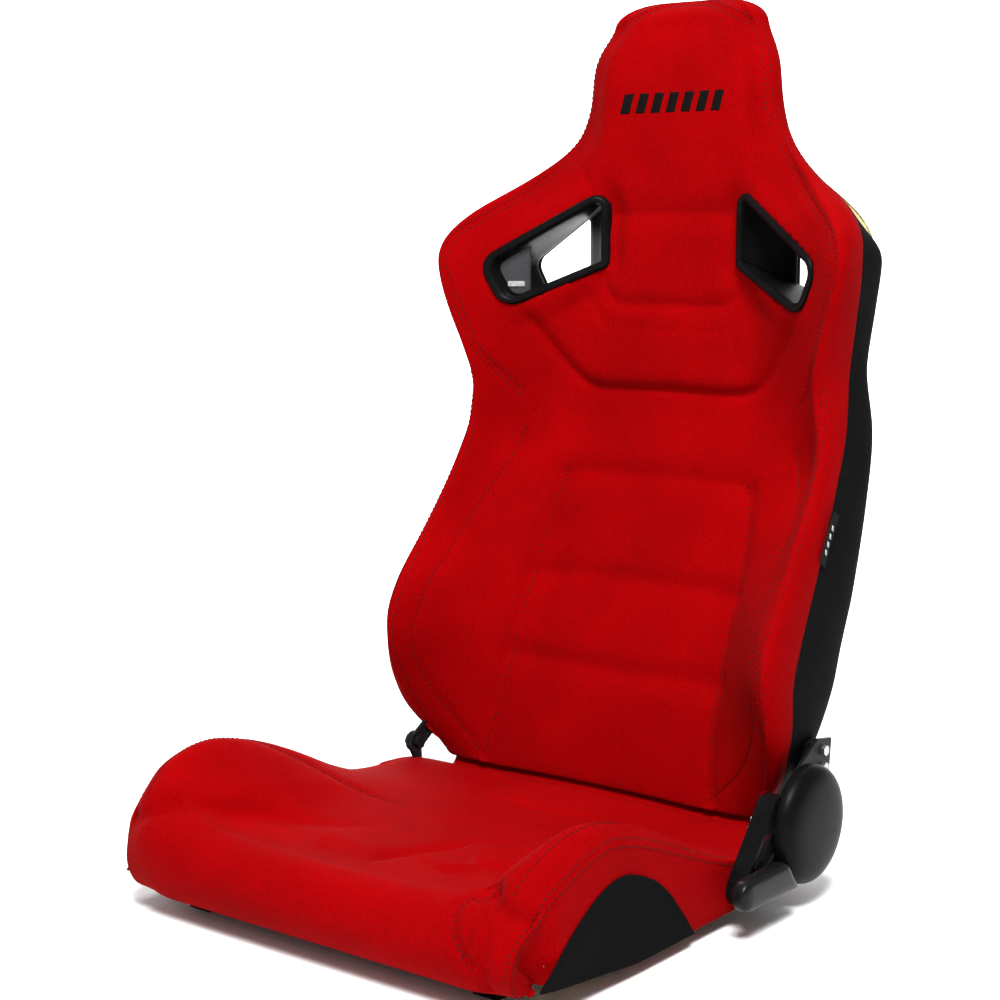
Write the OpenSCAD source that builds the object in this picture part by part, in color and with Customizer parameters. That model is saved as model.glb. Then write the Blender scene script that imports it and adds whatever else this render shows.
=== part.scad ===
// Reclining sport bucket seat: steel base frame, a rotary recliner with a side
// lever, a plain pivot on the far side, a tubular backrest frame, foam and sewn covers.
// +X is the sitter's left, -Y is forward and +Z is up. The origin is the centre of
// the four base bolts, on the underside of the rails. All sizes are millimetres.

/* [Base frame] */
// Spacing of the base bolts across the seat
bolt_dx = 368; // [350:1:376]
// Spacing of the base bolts along the seat
bolt_dy = 292; // [270:1:300]
// Radius of the base bolt holes
bolt_r = 4.2; // [3.4:0.1:5]
// Width of a side rail
rail_w = 28; // [24:1:32]
// Height of a side rail
rail_h = 20; // [16:1:20]
// Front end of the side rails
rail_front = -232; // [-236:1:-225]
// Rear end of the side rails
rail_rear = 224; // [200:1:226]
// Radius of the cross tubes
cross_r = 9; // [7:0.5:9]
// Number of zigzag springs under the cushion
spring_count = 4; // [3:1:5]

/* [Recliner] */
// Distance of the hinge axis behind the origin
axis_y = 158; // [157:0.5:159]
// Height of the hinge axis
axis_z = 85; // [84:0.5:86]
// Radius of the round hinge cap
cap_r = 61; // [58:0.5:61]
// Half width of the seat over the hinge caps
cap_face = 306; // [304:0.5:308]
// Number of teeth in a recliner ring
ring_teeth = 60; // [48:6:72]
// Radius over the tips of the ring's inward teeth
ring_tip_r = 31; // [30.8:0.1:31.4]
// Height of a recliner tooth
tooth_h = 1.5; // [1:0.1:1.8]
// Radius of the release shaft
shaft_r = 7; // [6:0.25:7]

/* [Lever] */
// Front end of the lever grip
grip_front = 12; // [8:1:20]
// Height of the grip's centre line at its front end
grip_z = 47; // [44:1:50]
// Thickness of the grip from top to bottom
grip_h = 33; // [28:1:36]

/* [Backrest frame] */
// Radius of the hoop tube
hoop_r = 11; // [9:0.5:12]
// Radius of the headrest stay
stay_r = 6; // [5:0.5:7]
// Radius of the support wires
wire_r = 2; // [1.5:0.25:2.5]

/* [Pads and covers] */
// Half width of the cushion over its side walls
cushion_x = 262; // [261:0.5:262]
// Thickness of the sewn covers
cover_t = 3.5; // [3:0.25:4]
// Air gap between a cover and its foam
soft_gap = 1; // [0.8:0.1:1.5]
// Height of the underside of the cushion foam
foam_floor = 42.5; // [42.2:0.1:44]

/* [Harness openings] */
// Width of a bezel's rim around its opening
bezel_rim = 10; // [8:0.5:11]
// Wall thickness of the duct through the backrest
duct_t = 2.5; // [2:0.25:3]
// Slope of a bezel's face, in depth for each unit of width
bezel_slope = 0.5; // [0.4:0.05:0.6]

/* [Hidden] */
$fn = 48;

red = "firebrick";
black = [0.09, 0.09, 0.09];
steel = [0.35, 0.36, 0.38];
bright_steel = [0.62, 0.63, 0.65];
plastic = [0.13, 0.13, 0.14];
foam = [0.85, 0.82, 0.62];

// Layers of a recliner, measured outwards from the seat's middle plane
arm_in = 265.4;
arm_out = 269;
ring_out = 274.6;
boss_in = 269.4;
plate_in = 275;
plate_out = 279;
lever_in = 279.4;
lever_out = 281.8;
shell_in = 264.4;
shell_face_in = 282.2;
shell_out = 284.2;
cap_in = 284.5;
grip_in = 285;
grip_out = 305;

// Plain pivot on the other side: outer face of its arm, inner face of its bracket
arm_face = 232;
pivot_in = 233;
pivot_t = 4;
pivot_eye_r = 12;
pivot_r = 5;
bush_r = 7;

run_gap = 0.3;
ring_r = 38;
bearing_r = 42;
pawl_w = 15.4;
pawl_foot_w = 3;
pawl_foot_r = 13;
cam_r = 8;
cam_nose_r = 11.75;
cam_nose_w = 2;
tube_z = rail_h + cross_r;
front_tube_y = -212;
rear_tube_y = 150;
bracket_t = 4;
bracket_front = 96;
bracket_rear = 174;

// ---- curves ----

function spline(a, b, c, d, t) =
    0.5 * (2 * b + (c - a) * t + (2 * a - 5 * b + 4 * c - d) * t * t + (3 * b - a - 3 * c + d) * t * t * t);

// A smooth open line through the points, with n steps between each pair
function open_curve(p, n) = let (last = len(p) - 1) concat(
    [for (i = [0 : last - 1]) for (k = [0 : n - 1])
        spline(p[max(i - 1, 0)], p[i], p[i + 1], p[min(i + 2, last)], k / n)],
    [p[last]]);

// A smooth closed line through the points
function closed_curve(p, n) = let (m = len(p))
    [for (i = [0 : m - 1]) for (k = [0 : n - 1])
        spline(p[(i + m - 1) % m], p[i], p[(i + 1) % m], p[(i + 2) % m], k / n)];

// Moves each point of an open line sideways, to the left of its direction
function shift_left(p, d) = let (last = len(p) - 1)
    [for (i = [0 : last]) let (
        t = p[min(i + 1, last)] - p[max(i - 1, 0)],
        n = [-t.y, t.x] / norm(t))
        p[i] + n * d];

// The same for a closed line
function inset(p, d) = let (m = len(p))
    [for (i = [0 : m - 1]) let (
        t = p[(i + 1) % m] - p[(i + m - 1) % m],
        n = [-t.y, t.x] / norm(t))
        p[i] + n * d];

function reversed(p) = [for (i = [len(p) - 1 : -1 : 0]) p[i]];
function mirrored(p) = [for (q = p) [-q.x, q.y]];

// Every point of a polygon pushed outwards from the two edges that meet there
function grown(p, d) = let (m = len(p))
    [for (i = [0 : m - 1]) let (
        u = (p[i] - p[(i + m - 1) % m]) / norm(p[i] - p[(i + m - 1) % m]),
        v = (p[(i + 1) % m] - p[i]) / norm(p[(i + 1) % m] - p[i]),
        s = [u.y, -u.x] + [v.y, -v.x])
        p[i] + s * d * 2 / (s * s)];

// A polygon with each corner rounded by an arc of its own radius in r
function rounded(p, r, steps = 6) = let (m = len(p))
    [for (i = [0 : m - 1]) let (
        u = (p[i] - p[(i + m - 1) % m]) / norm(p[i] - p[(i + m - 1) % m]),
        v = (p[(i + 1) % m] - p[i]) / norm(p[(i + 1) % m] - p[i]),
        turn = atan2(u.x * v.y - u.y * v.x, u * v),
        start = p[i] - u * r[i] * tan(turn / 2),
        centre = start + [-u.y, u.x] * r[i],
        from = atan2(start.y - centre.y, start.x - centre.x))
        for (k = [0 : steps]) centre + r[i] * [cos(from + turn * k / steps), sin(from + turn * k / steps)]];

// ---- solids from curves ----

// A solid skinned over closed rings of points, all with the same count. The faces from
// point "turn" on are split along the other diagonal, so that the inside of a skin
// lies parallel to its outside
module loft(rings, turn = 1000) {
    m = len(rings[0]);
    n = len(rings);
    points = [for (ring = rings) for (q = ring) q];
    sides = [for (k = [0 : n - 2]) for (j = [0 : m - 1]) let (
        a = k * m + j, b = k * m + (j + 1) % m)
        for (f = j < turn ? [[a, a + m, b + m], [a, b + m, b]] : [[a, a + m, b], [b, a + m, b + m]]) f];
    caps = [[for (j = [0 : m - 1]) j], [for (j = [m - 1 : -1 : 0]) (n - 1) * m + j]];
    polyhedron(points, concat(sides, caps), convexity = 8);
}

function unit(v) = v / norm(v);

// A round tube along a path, with the ring planes square to the path
module swept_tube(path, r, sides = 8) {
    last = len(path) - 1;
    loft([for (i = [0 : last]) let (
        t = unit(path[min(i + 1, last)] - path[max(i - 1, 0)]),
        side = unit(cross(t, abs(t.y) > 0.9 ? [1, 0, 0] : [0, 1, 0])),
        up = cross(t, side))
        [for (k = [0 : sides - 1]) let (a = 360 * k / sides)
            path[i] + r * (cos(a) * side + sin(a) * up)]]);
}

// A flat shape drawn in Y and Z, made solid between two distances along X
module slab(x_from, x_to) {
    translate([x_from, 0, 0]) rotate([90, 0, 90]) linear_extrude(x_to - x_from) children();
}

// A flat shape drawn in X and Z, made solid between two distances along Y
module curtain(y_from, y_to) {
    translate([0, y_to, 0]) rotate([90, 0, 0]) linear_extrude(y_to - y_from) children();
}

module x_rod(x_from, x_to, y, z, r) {
    translate([x_from, y, z]) rotate([0, 90, 0]) cylinder(h = x_to - x_from, r = r);
}

module at_axis() {
    translate([axis_y, axis_z]) children();
}

module right_side() {
    mirror([1, 0, 0]) children();
}

module both_sides() {
    children();
    mirror([1, 0, 0]) children();
}

// ---- base frame ----

module side_rail() {
    color(steel) difference() {
        translate([bolt_dx / 2 - rail_w / 2, rail_front, 0]) cube([rail_w, rail_rear - rail_front, rail_h]);
        translate([bolt_dx / 2 - rail_w / 2 + 2, rail_front - 1, 2.5])
            cube([rail_w - 4, rail_rear - rail_front + 2, rail_h - 5]);
        for (s = [-1, 1]) translate([bolt_dx / 2, s * bolt_dy / 2, -1]) cylinder(h = 4.5, r = bolt_r);
        for (y = [bracket_front + 18, bracket_rear - 24])
            translate([bolt_dx / 2, y, rail_h - 4]) cylinder(h = 5, r = 3.3);
    }
}

module weld_nuts() {
    color(bright_steel) for (sx = [-1, 1]) for (sy = [-1, 1])
        translate([sx * bolt_dx / 2, sy * bolt_dy / 2, 2.5]) difference() {
            cylinder(h = 6.5, r = 7.5, $fn = 6);
            translate([0, 0, -1]) cylinder(h = 9, r = bolt_r);
        }
}

module cross_tube(y, from, to) {
    color(steel) difference() {
        x_rod(from, to, y, tube_z, cross_r);
        x_rod(from - 1, to + 1, y, tube_z, cross_r - 2);
    }
}

module front_cross_tube() {
    cross_tube(front_tube_y, -bolt_dx / 2 - rail_w / 2, bolt_dx / 2 + rail_w / 2);
}

module rear_cross_tube() {
    cross_tube(rear_tube_y, -pivot_in, plate_in);
}

// Flat bracket on top of the rail that carries the recliner plate
module recliner_bracket() {
    inner = bolt_dx / 2 - rail_w / 2;
    color(steel) difference() {
        translate([inner, bracket_front, rail_h])
            cube([plate_in - inner, rear_tube_y - cross_r - 1 - bracket_front, bracket_t]);
        translate([bolt_dx / 2, bracket_front + 18, rail_h - 1]) cylinder(h = bracket_t + 2, r = 3.3);
    }
}

// Plate on the sitter's right that carries the plain pivot, welded to the rear tube's end
module pivot_bracket() {
    color(steel) right_side() difference() {
        slab(pivot_in, pivot_in + pivot_t) {
            at_axis() circle(r = pivot_eye_r);
            polygon([[rear_tube_y - cross_r, rail_h + bracket_t], [171, rail_h + bracket_t], [171, 62],
                [axis_y + pivot_eye_r - 0.5, axis_z], [axis_y - pivot_eye_r + 0.5, axis_z], [157.6, 66], [157.6, 42],
                [rear_tube_y - cross_r, 42]]);
        }
        x_rod(pivot_in - 1, pivot_in + pivot_t + 1, axis_y, axis_z, pivot_r + run_gap);
    }
}

// Shoulder bolt of the plain pivot, with its nut
module pivot_bolt() {
    color(bright_steel) right_side() {
        x_rod(arm_face - pivot_t - 5.6, pivot_in + pivot_t + 0.3, axis_y, axis_z, pivot_r);
        slab(pivot_in + pivot_t + 0.2, pivot_in + pivot_t + 4.7) at_axis() circle(r = 8.5, $fn = 6);
        slab(arm_face - pivot_t - 5.2, arm_face - pivot_t - 0.5) at_axis() circle(r = 8, $fn = 6);
    }
}

// Flanged bearing bush in the pivot arm's eye
module pivot_bush() {
    color(plastic) right_side() difference() {
        union() {
            x_rod(arm_face - pivot_t - 0.2, arm_face + 0.2, axis_y, axis_z, bush_r);
            x_rod(arm_face + 0.2, pivot_in - 0.2, axis_y, axis_z, pivot_eye_r - 2);
        }
        x_rod(arm_face - pivot_t - 1, pivot_in, axis_y, axis_z, pivot_r + run_gap / 2);
    }
}

// Screw that holds the recliner's bracket down
module bracket_bolts() {
    color(bright_steel) {
        translate([bolt_dx / 2, bracket_front + 18, rail_h - 6]) cylinder(h = bracket_t + 6, r = 3.1);
        translate([bolt_dx / 2, bracket_front + 18, rail_h + bracket_t]) cylinder(h = 4.5, r = 5.8, $fn = 6);
    }
}

spring_w = 46;
spring_wire = 3.2;
spring_pitch = 26;
spring_z = tube_z + cross_r;
spring_from = front_tube_y - 4;
spring_to = rear_tube_y + 4;
spring_lead = 18;
spring_bends = floor((spring_to - spring_from - 2 * spring_lead - 2) / (spring_pitch / 2));

// Middle line of one zigzag spring, with half-round bends
function zigzag_line() = let (
    half = spring_w / 2 - spring_pitch / 4, r = spring_pitch / 4, start = spring_from + spring_lead)
    concat(
        [[0, spring_from], [0, start - 1]],
        [for (i = [0 : spring_bends - 1]) let (s = i % 2 == 0 ? 1 : -1, y = start + i * spring_pitch / 2)
            for (a = [-90 : 36 : 90]) [s * (half + r * cos(a)), y + r + r * sin(a)]],
        [[0, spring_to - spring_lead + 1], [0, spring_to]]);

function spring_x(i) = (i - (spring_count - 1) / 2) * 84;

module seat_springs() {
    middle = zigzag_line();
    outline = concat(shift_left(middle, -spring_wire / 2), reversed(shift_left(middle, spring_wire / 2)));
    color(bright_steel) for (i = [0 : spring_count - 1])
        translate([spring_x(i), 0, spring_z + 0.1]) linear_extrude(spring_wire) polygon(outline);
}

// Pressed clips that hold the spring ends on the cross tubes
module spring_clips() {
    color(steel) for (i = [0 : spring_count - 1]) for (y = [front_tube_y, rear_tube_y])
        translate([spring_x(i) - 7, 0, 0]) difference() {
            translate([0, y - cross_r - 1.4, tube_z - 3]) cube([14, 2 * cross_r + 2.8, cross_r + 4]);
            x_rod(-1, 15, y, tube_z, cross_r + 0.1);
            translate([-1, y - cross_r - 0.1, tube_z - 4]) cube([16, 2 * cross_r + 0.2, 4]);
            translate([7 - spring_wire / 2 - 0.2, y - 20, spring_z])
                cube([spring_wire + 0.4, 40, 4]);
        }
}

// ---- cushion ----

// Outline heights and widths of the cushion by distance from the origin
side_foot = [[-285, 50], [-272, 38], [-258, 31], [-225, 25], [-165, 19], [-100, 13], [60, 14], [86, 15],
    [89, 50], [158, 51]];
side_top = [[-285, 64], [-262, 92], [-240, 109], [-200, 129], [-160, 141], [-140, 143], [-120, 140],
    [-60, 112], [0, 88], [40, 72], [90, 62], [178, 64.5]];
crest_top = [[-285, 68], [-275, 86], [-262, 104], [-243, 128], [-218, 144], [-175, 154], [-143, 152],
    [-92, 138], [-32, 112], [16, 88], [60, 71], [100, 64], [178, 65.5]];
middle_top = [[-285, 62], [-275, 78], [-262, 88], [-249, 92], [-235, 87], [-215, 76], [-190, 72],
    [-100, 67], [100, 66], [178, 66]];
wall_x = [[-285, 226], [-275, 245], [-262, 256], [-250, 260], [-235, cushion_x], [84, cushion_x],
    [90, 259], [158, 256]];
cushion_y = [156, 150, 120, 89, 86, 50, 10, -30, -70, -110, -145, -175, -200, -220, -238, -250, -262];
nose_y = [-262.4, -270, -278, -285];
insert_edge = 150;
// Rear lip of the cushion, rounded underneath and cut short at its ends to clear the backrest's sweep
lip_x = 154;
lip = [[156.4, 57], [164, 57], [172, 60], [178, 63.5], [180, 66], [176, 67.5], [156.4, 67]];

// Half of a cross section, from the side wall's foot up and over to the middle
function cushion_half(y) = let (
    w = lookup(y, wall_x), foot = lookup(y, side_foot), top = lookup(y, side_top),
    crest = lookup(y, crest_top), middle = lookup(y, middle_top))
    [[w - 0.6, foot], [w, (foot + top) / 2], [w - 0.6, top], [w - 24, crest], [w - 68, (crest * 0.55 + middle * 0.45)],
     [insert_edge, middle + (crest - middle) * 0.14], [insert_edge / 2, middle + 1], [0, middle]];

function cushion_over(y) = let (half = cushion_half(y))
    open_curve(concat(half, reversed([for (i = [0 : len(half) - 2]) [-half[i].x, half[i].y]])), 2);

function lifted(p, y) = [for (q = p) [q.x, y, q.y]];

module cushion_cover() {
    color(red) {
        loft([for (y = cushion_y) let (outer = cushion_over(y))
            lifted(concat(outer, reversed(shift_left(outer, cover_t))), y)], len(cushion_over(0)));
        loft([for (y = nose_y) lifted(cushion_over(y), y)]);
        slab(-lip_x, lip_x) polygon(lip);
    }
}

module cushion_foam() {
    color(foam) loft([for (y = cushion_y) if (y > -258 && y < 155) let (
        over = shift_left(cushion_over(y), cover_t + soft_gap))
        lifted([for (q = over) [q.x, max(q.y, foam_floor)]], y)]);
}

// Dark arched panel sewn on each side wall
module cushion_panel() {
    arch = [[-252, 33], [-206, 73], [-166, 96], [-128, 102], [-86, 87], [-44, 51], [-16, 15]];
    foot = [[-100, 15], [-165, 21], [-225, 27]];
    color(black) slab(cushion_x + 1.5, cushion_x + 3) polygon(concat(reversed(open_curve(arch, 4)), reversed(foot)));
}

// ---- recliner, on the sitter's left only ----

// Fixed plate with the bearing rim and the pawl guides
module recliner_plate() {
    color(steel) difference() {
        union() {
            slab(plate_in, plate_out) union() {
                at_axis() circle(r = bearing_r);
                polygon([[66, 34], [94, 34], [94, rail_h], [172, rail_h], [190, 60], [190, 85], [130, 105], [74, 58]]);
            }
            slab(boss_in, plate_in) at_axis() difference() {
                circle(r = bearing_r);
                circle(r = ring_r + run_gap);
            }
            slab(boss_in + 0.8, plate_in) at_axis() intersection() {
                circle(r = ring_tip_r - 0.5);
                for (sy = [-1, 1]) for (sz = [-1, 1])
                    translate([sy * (pawl_w / 2 + 0.3 + 6), sz * 21]) square([12, 14], center = true);
            }
        }
        x_rod(plate_in - 1, plate_out + 1, axis_y, axis_z, shaft_r + run_gap);
    }
}

cover_edge = [[120, 122], [103, 122], [45, 49], [41.5, 38], [50, 26], [90, 26]];

// Moulded cover with a sloping front band and a slot that the lever comes out of
module recliner_cover() {
    color(plastic) union() {
        slab(shell_in, shell_face_in) polygon(concat(cover_edge, reversed(shift_left(cover_edge, 2.5))));
        slab(shell_face_in, shell_out) difference() {
            union() {
                polygon(concat(cover_edge, [[150, 28], [150, 130]]));
                at_axis() circle(r = cap_r - 1);
            }
            polygon([[50, 52], [90, 93], [119, 93], [122, 28.5], [58, 28.5]]);
            at_axis() circle(r = shaft_r + 3);
        }
    }
}

// Domed round cap over the hinge, hollow inside
module hinge_cap() {
    depth = cap_face - cap_in;
    color(plastic) translate([cap_in, axis_y, axis_z]) rotate([0, 90, 0]) difference() {
        rotate_extrude() polygon(concat(
            [[0, 0], [cap_r, 0], [cap_r, depth * 0.35]],
            [for (a = [10 : 10 : 90]) [cap_r - 10 + 10 * cos(a), depth * 0.35 + 6 * sin(a)]],
            [[cap_r * 0.5, depth - 1.2], [0, depth]]));
        translate([0, 0, -1]) rotate_extrude() polygon([
            [0, 0], [cap_r - 3, 0], [cap_r - 3, depth * 0.35], [cap_r - 12, depth * 0.35 + 4.5],
            [cap_r * 0.5, depth - 4], [0, depth - 3]]);
    }
}

// Flat spiral that turns the lever back down
module lever_spring() {
    turns = 3;
    inner = shaft_r + 0.8;
    growth = 3.2;
    line = [for (a = [0 : 20 : 360 * turns]) (inner + 0.6 + growth * a / 360) * [cos(a), sin(a)]];
    color(bright_steel) slab(cap_in + 1, cap_in + 4) at_axis()
        polygon(concat(shift_left(line, -0.6), reversed(shift_left(line, 0.6))));
}

module release_shaft() {
    color(bright_steel) {
        x_rod(arm_in - 3, cap_in + 6, axis_y, axis_z, shaft_r);
        slab(boss_in + 0.9, plate_in - 0.4) at_axis() {
            circle(r = cam_r);
            square([cam_nose_w, 2 * cam_nose_r], center = true);
        }
    }
}

// Steel arm of the lever, with a tongue that the grip is pushed on
module lever() {
    color(steel) difference() {
        union() {
            slab(lever_in, lever_out) {
                at_axis() circle(r = 14);
                polygon([[axis_y - 8, axis_z - 13], [axis_y - 12, axis_z + 8], [98, 60], [81, 56], [81, 39], [98, 39]]);
            }
            slab(lever_out, grip_in + 0.2) translate([82, 41]) square([13, 14]);
            slab(grip_in + 0.2, grip_in + 3.2) translate([30, 41]) square([65, 14]);
        }
        x_rod(lever_in - 1, lever_out + 1, axis_y, axis_z, shaft_r + 0.1);
    }
}

// Grip outline in Y and Z: a round nose, and a rear end cut to clear the round cap
module grip_outline(shrink) {
    difference() {
        union() {
            translate([grip_front + grip_h / 2, grip_z]) circle(r = grip_h / 2 - shrink);
            polygon([[grip_front + grip_h / 2, grip_z - grip_h / 2 + shrink],
                [112, grip_z - grip_h / 2 + shrink], [112, grip_z + grip_h / 2 - shrink],
                [grip_front + grip_h / 2, grip_z + grip_h / 2 - shrink]]);
        }
        at_axis() circle(r = cap_r + 2 + shrink);
    }
}

module lever_grip() {
    color(plastic) difference() {
        union() {
            slab(grip_in, grip_in + 3) grip_outline(2);
            slab(grip_in + 3, grip_out - 4) grip_outline(0);
            slab(grip_out - 4, grip_out - 1.5) grip_outline(1.5);
            slab(grip_out - 1.5, grip_out) grip_outline(4);
        }
        slab(grip_in - 1, grip_in + 3.4) translate([29.8, 40.8]) square([65.4, 14.4]);
    }
}

// Toothed ring that turns with the backrest
module tooth_ring() {
    color(bright_steel) slab(arm_out, ring_out) at_axis() difference() {
        circle(r = ring_r);
        polygon([for (i = [0 : 2 * ring_teeth - 1])
            (ring_tip_r + (i % 2) * tooth_h) * [cos(i * 180 / ring_teeth), sin(i * 180 / ring_teeth)]]);
    }
}

// Sliding pawl, above the shaft for s = 1 and below it for s = -1
module pawl(s) {
    pitch = 180 / ring_teeth;
    reach = ring_tip_r - 0.4;
    half = floor(asin((pawl_w / 2 - 0.6) / reach) / pitch);
    color(bright_steel) slab(boss_in + 0.9, plate_in - 0.3) at_axis() {
        polygon([for (q = concat(
            [[-pawl_w / 2, 16], [-pawl_w / 2, 26]],
            [for (i = [-half : half]) (reach - (i % 2 == 0 ? 0 : tooth_h - 0.3)) * [sin(i * pitch), cos(i * pitch)]],
            [[pawl_w / 2, 26], [pawl_w / 2, 16], [pawl_foot_w / 2, 16], [pawl_foot_w / 2, pawl_foot_r],
             [-pawl_foot_w / 2, pawl_foot_r], [-pawl_foot_w / 2, 16]])) [q.x, s * q.y]]);
    }
}

// ---- backrest shape, by height ----

insert_y = [[68, 188], [100, 195], [190, 224], [286, 266], [340, 288], [400, 308], [497, 333], [700, 333],
    [830, 335], [880, 342], [905, 352], [915, 358]];
insert_x = [[68, 150], [100, 152], [200, 140], [380, 130], [560, 126], [700, 110], [780, 88], [860, 84],
    [900, 64], [915, 46]];
bolster_x = [[68, 196], [120, 219], [180, 232], [240, 226], [280, 215], [400, 203], [520, 200], [620, 222],
    [660, 224], [720, 176], [780, 116], [860, 100], [915, 70]];
bolster_y = [[68, 188], [120, 172], [180, 150], [220, 142], [260, 160], [320, 214], [400, 284], [440, 300],
    [520, 290], [640, 262], [680, 276], [740, 326], [780, 340], [860, 340], [900, 350], [915, 360]];
edge_x = [[68, 206], [100, 226], [140, 243], [180, 252], [260, 249], [380, 238], [460, 233], [510, 229],
    [540, 235], [580, 249], [620, 261], [648, 265], [668, 260], [690, 245], [730, 194], [760, 156],
    [790, 130], [820, 120], [860, 116], [885, 107], [903, 92], [915, 74]];
edge_y = [[68, 192], [100, 176], [140, 158], [200, 133], [240, 128], [270, 140], [340, 192], [420, 246],
    [460, 262], [500, 262], [540, 252], [640, 240], [665, 246], [700, 274], [740, 320], [780, 344],
    [860, 346], [900, 352], [915, 362]];
side_x = [[68, 212], [100, 234], [140, 254], [180, 261.5], [260, 258], [380, 249], [480, 243], [520, 243],
    [580, 257], [640, 267], [665, 264], [700, 242], [740, 188], [780, 139], [820, 124], [860, 118],
    [900, 98], [915, 78]];
side_y = [[68, 214], [120, 184], [154, 172], [210, 172], [258, 192], [325, 232], [403, 276], [473, 306],
    [525, 308], [580, 294], [640, 286], [680, 300], [740, 352], [780, 374], [860, 372], [915, 372]];
rear_x = [[68, 206], [120, 232], [200, 240], [400, 235], [520, 230], [600, 240], [650, 248], [690, 232],
    [740, 178], [780, 130], [820, 116], [860, 108], [900, 86], [915, 66]];
rear_y = [[68, 262], [120, 278], [220, 308], [303, 341], [387, 368], [462, 383], [540, 366], [667, 366],
    [740, 388], [777, 404], [820, 400], [863, 395], [900, 387], [915, 382]];
hind_y = [[68, 270], [120, 290], [200, 322], [300, 362], [400, 392], [462, 404], [540, 398], [640, 398],
    [740, 412], [780, 418], [820, 416], [863, 410], [900, 400], [915, 393]];
tilt = [[68, 0.48], [100, 0.42], [200, 0.12], [280, 0]];
back_z = [68, 84, 104, 128, 156, 188, 222, 256, 292, 330, 372, 416, 462, 505, 545, 585, 620, 648, 670,
    694, 720, 746, 772, 800, 835, 865, 888, 904];
crown_z = [904.4, 912, 919, 925, 930, 934];
crown_foot = 904;
crown_mid = 374;
half_points = 9;
seam = 10;

// Closed outline of the backrest at one height, from the front middle round by +X
function back_ring(z) = let (
    half = [[0, lookup(z, insert_y)], [lookup(z, insert_x) * 0.55, lookup(z, insert_y) - 1],
        [lookup(z, insert_x), lookup(z, insert_y) - 3], [lookup(z, bolster_x), lookup(z, bolster_y)],
        [lookup(z, edge_x), lookup(z, edge_y)], [lookup(z, side_x), lookup(z, side_y)],
        [lookup(z, rear_x), lookup(z, rear_y)],
        [lookup(z, rear_x) * 0.6, mixed(lookup(z, rear_y), lookup(z, hind_y), 0.75)],
        [0, lookup(z, hind_y)]])
    closed_curve(concat(half, [for (i = [half_points - 2 : -1 : 1]) [-half[i].x, half[i].y]]), 2);

function mixed(a, b, t) = a + (b - a) * t;

// Raises a flat ring to its height, tipping the lowest ones up towards the rear
function raised(p, z) = [for (q = p) [q.x, q.y, z + lookup(z, tilt) * (q.y - 188)]];

function part_of(p, from, to) = let (m = len(p)) [for (i = [from : to]) p[(i + m) % m]];

// Section of a sewn skin: a stretch of the outline, and the same stretch moved in
function skin(p, from, to, trim) = let (
    outer = part_of(p, from, to), inner = part_of(inset(p, cover_t), from, to), last = len(outer) - 1)
    concat(
        [outer[0] + trim * unit(outer[1] - outer[0])],
        [for (i = [1 : last - 1]) outer[i]],
        [outer[last] + trim * unit(outer[last - 1] - outer[last]),
         inner[last] + trim * unit(inner[last - 1] - inner[last])],
        [for (i = [last - 1 : -1 : 1]) inner[i]],
        [inner[0] + trim * unit(inner[1] - inner[0])]);

// Crown of the headrest, closing smoothly above the last ring
function crown_ring(z) = let (
    full = back_ring(min(z, 915)), s = sqrt(1 - pow((z - crown_foot) / 30.8, 2)))
    [for (q = full) [q.x * (0.35 + 0.65 * s), crown_mid + (q.y - crown_mid) * s]];

// The two ducts splay outwards from front to rear, so the holes for them do too
module harness_holes(growth) {
    both_sides() loft([rear_ring(growth, 60), rear_ring(growth, 0), front_ring(growth, 9.5),
        front_ring(growth, -120)]);
}

// Slit in cover and foam that the pivot arm comes out of
module pivot_slit() {
    right_side() slab(arm_face - pivot_t - 1.5, arm_face + 1.5) translate([140, 60]) square([76, 66]);
}

module backrest_cover() {
    color(red) {
        difference() {
            loft([for (z = back_z) raised(skin(back_ring(z), -seam, seam, 0), z)], 2 * seam + 1);
            harness_holes(0.5);
            pivot_slit();
        }
        loft([for (z = crown_z) raised(crown_ring(z), z)]);
    }
}

module back_panel() {
    color(black) difference() {
        loft([for (z = back_z) raised(skin(back_ring(z), seam, 32 - seam, 0.4), z)], 33 - 2 * seam);
        harness_holes(0.5);
        // Slots where the recliner arm and the pivot arm go in to the hoop
        translate([190, 205, 100]) cube([80, 42, 62]);
        right_side() translate([222, 190, 94]) cube([48, 57, 68]);
    }
}

foam_back = [[68, 214], [120, 226], [200, 254], [300, 298], [400, 334], [460, 350], [700, 356], [780, 364],
    [850, 364], [915, 364]];

// Foam in front of the hoop, wrapped round its sides
function foam_ring(z) = let (
    p = inset(back_ring(z), cover_t + soft_gap), front = part_of(p, -seam, seam),
    end = front[len(front) - 1], rear = p[seam + 2], depth = max(lookup(z, foam_back), end.y + 1),
    t = min((depth - end.y) / (rear.y - end.y), 0.95))
    concat(front, [end + (rear - end) * t], mirrored([end + (rear - end) * t]));

module backrest_foam() {
    color(foam) difference() {
        loft([for (z = back_z) if (z < 905) raised(foam_ring(z), z)]);
        harness_holes(0.5);
        for (m = [0, 1]) mirror([m, 0, 0]) swept_tube(hoop_half(), hoop_r + 1.5, 8);
        swept_tube(stay_line(), stay_r + 1.5, 8);
        both_sides() translate([186, 196, 90]) cube([90, 60, 80]);
        pivot_slit();
    }
}

// ---- backrest frame ----

hoop_points = [[216, 228, 128], [206, 262, 190], [206, 312, 300], [206, 350, 400], [212, 362, 460],
    [226, 344, 540], [242, 322, 610], [238, 320, 655], [208, 334, 696], [140, 370, 732], [60, 382, 742],
    [0, 384, 743]];

function hoop_half() = open_curve(hoop_points, 2);

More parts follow.
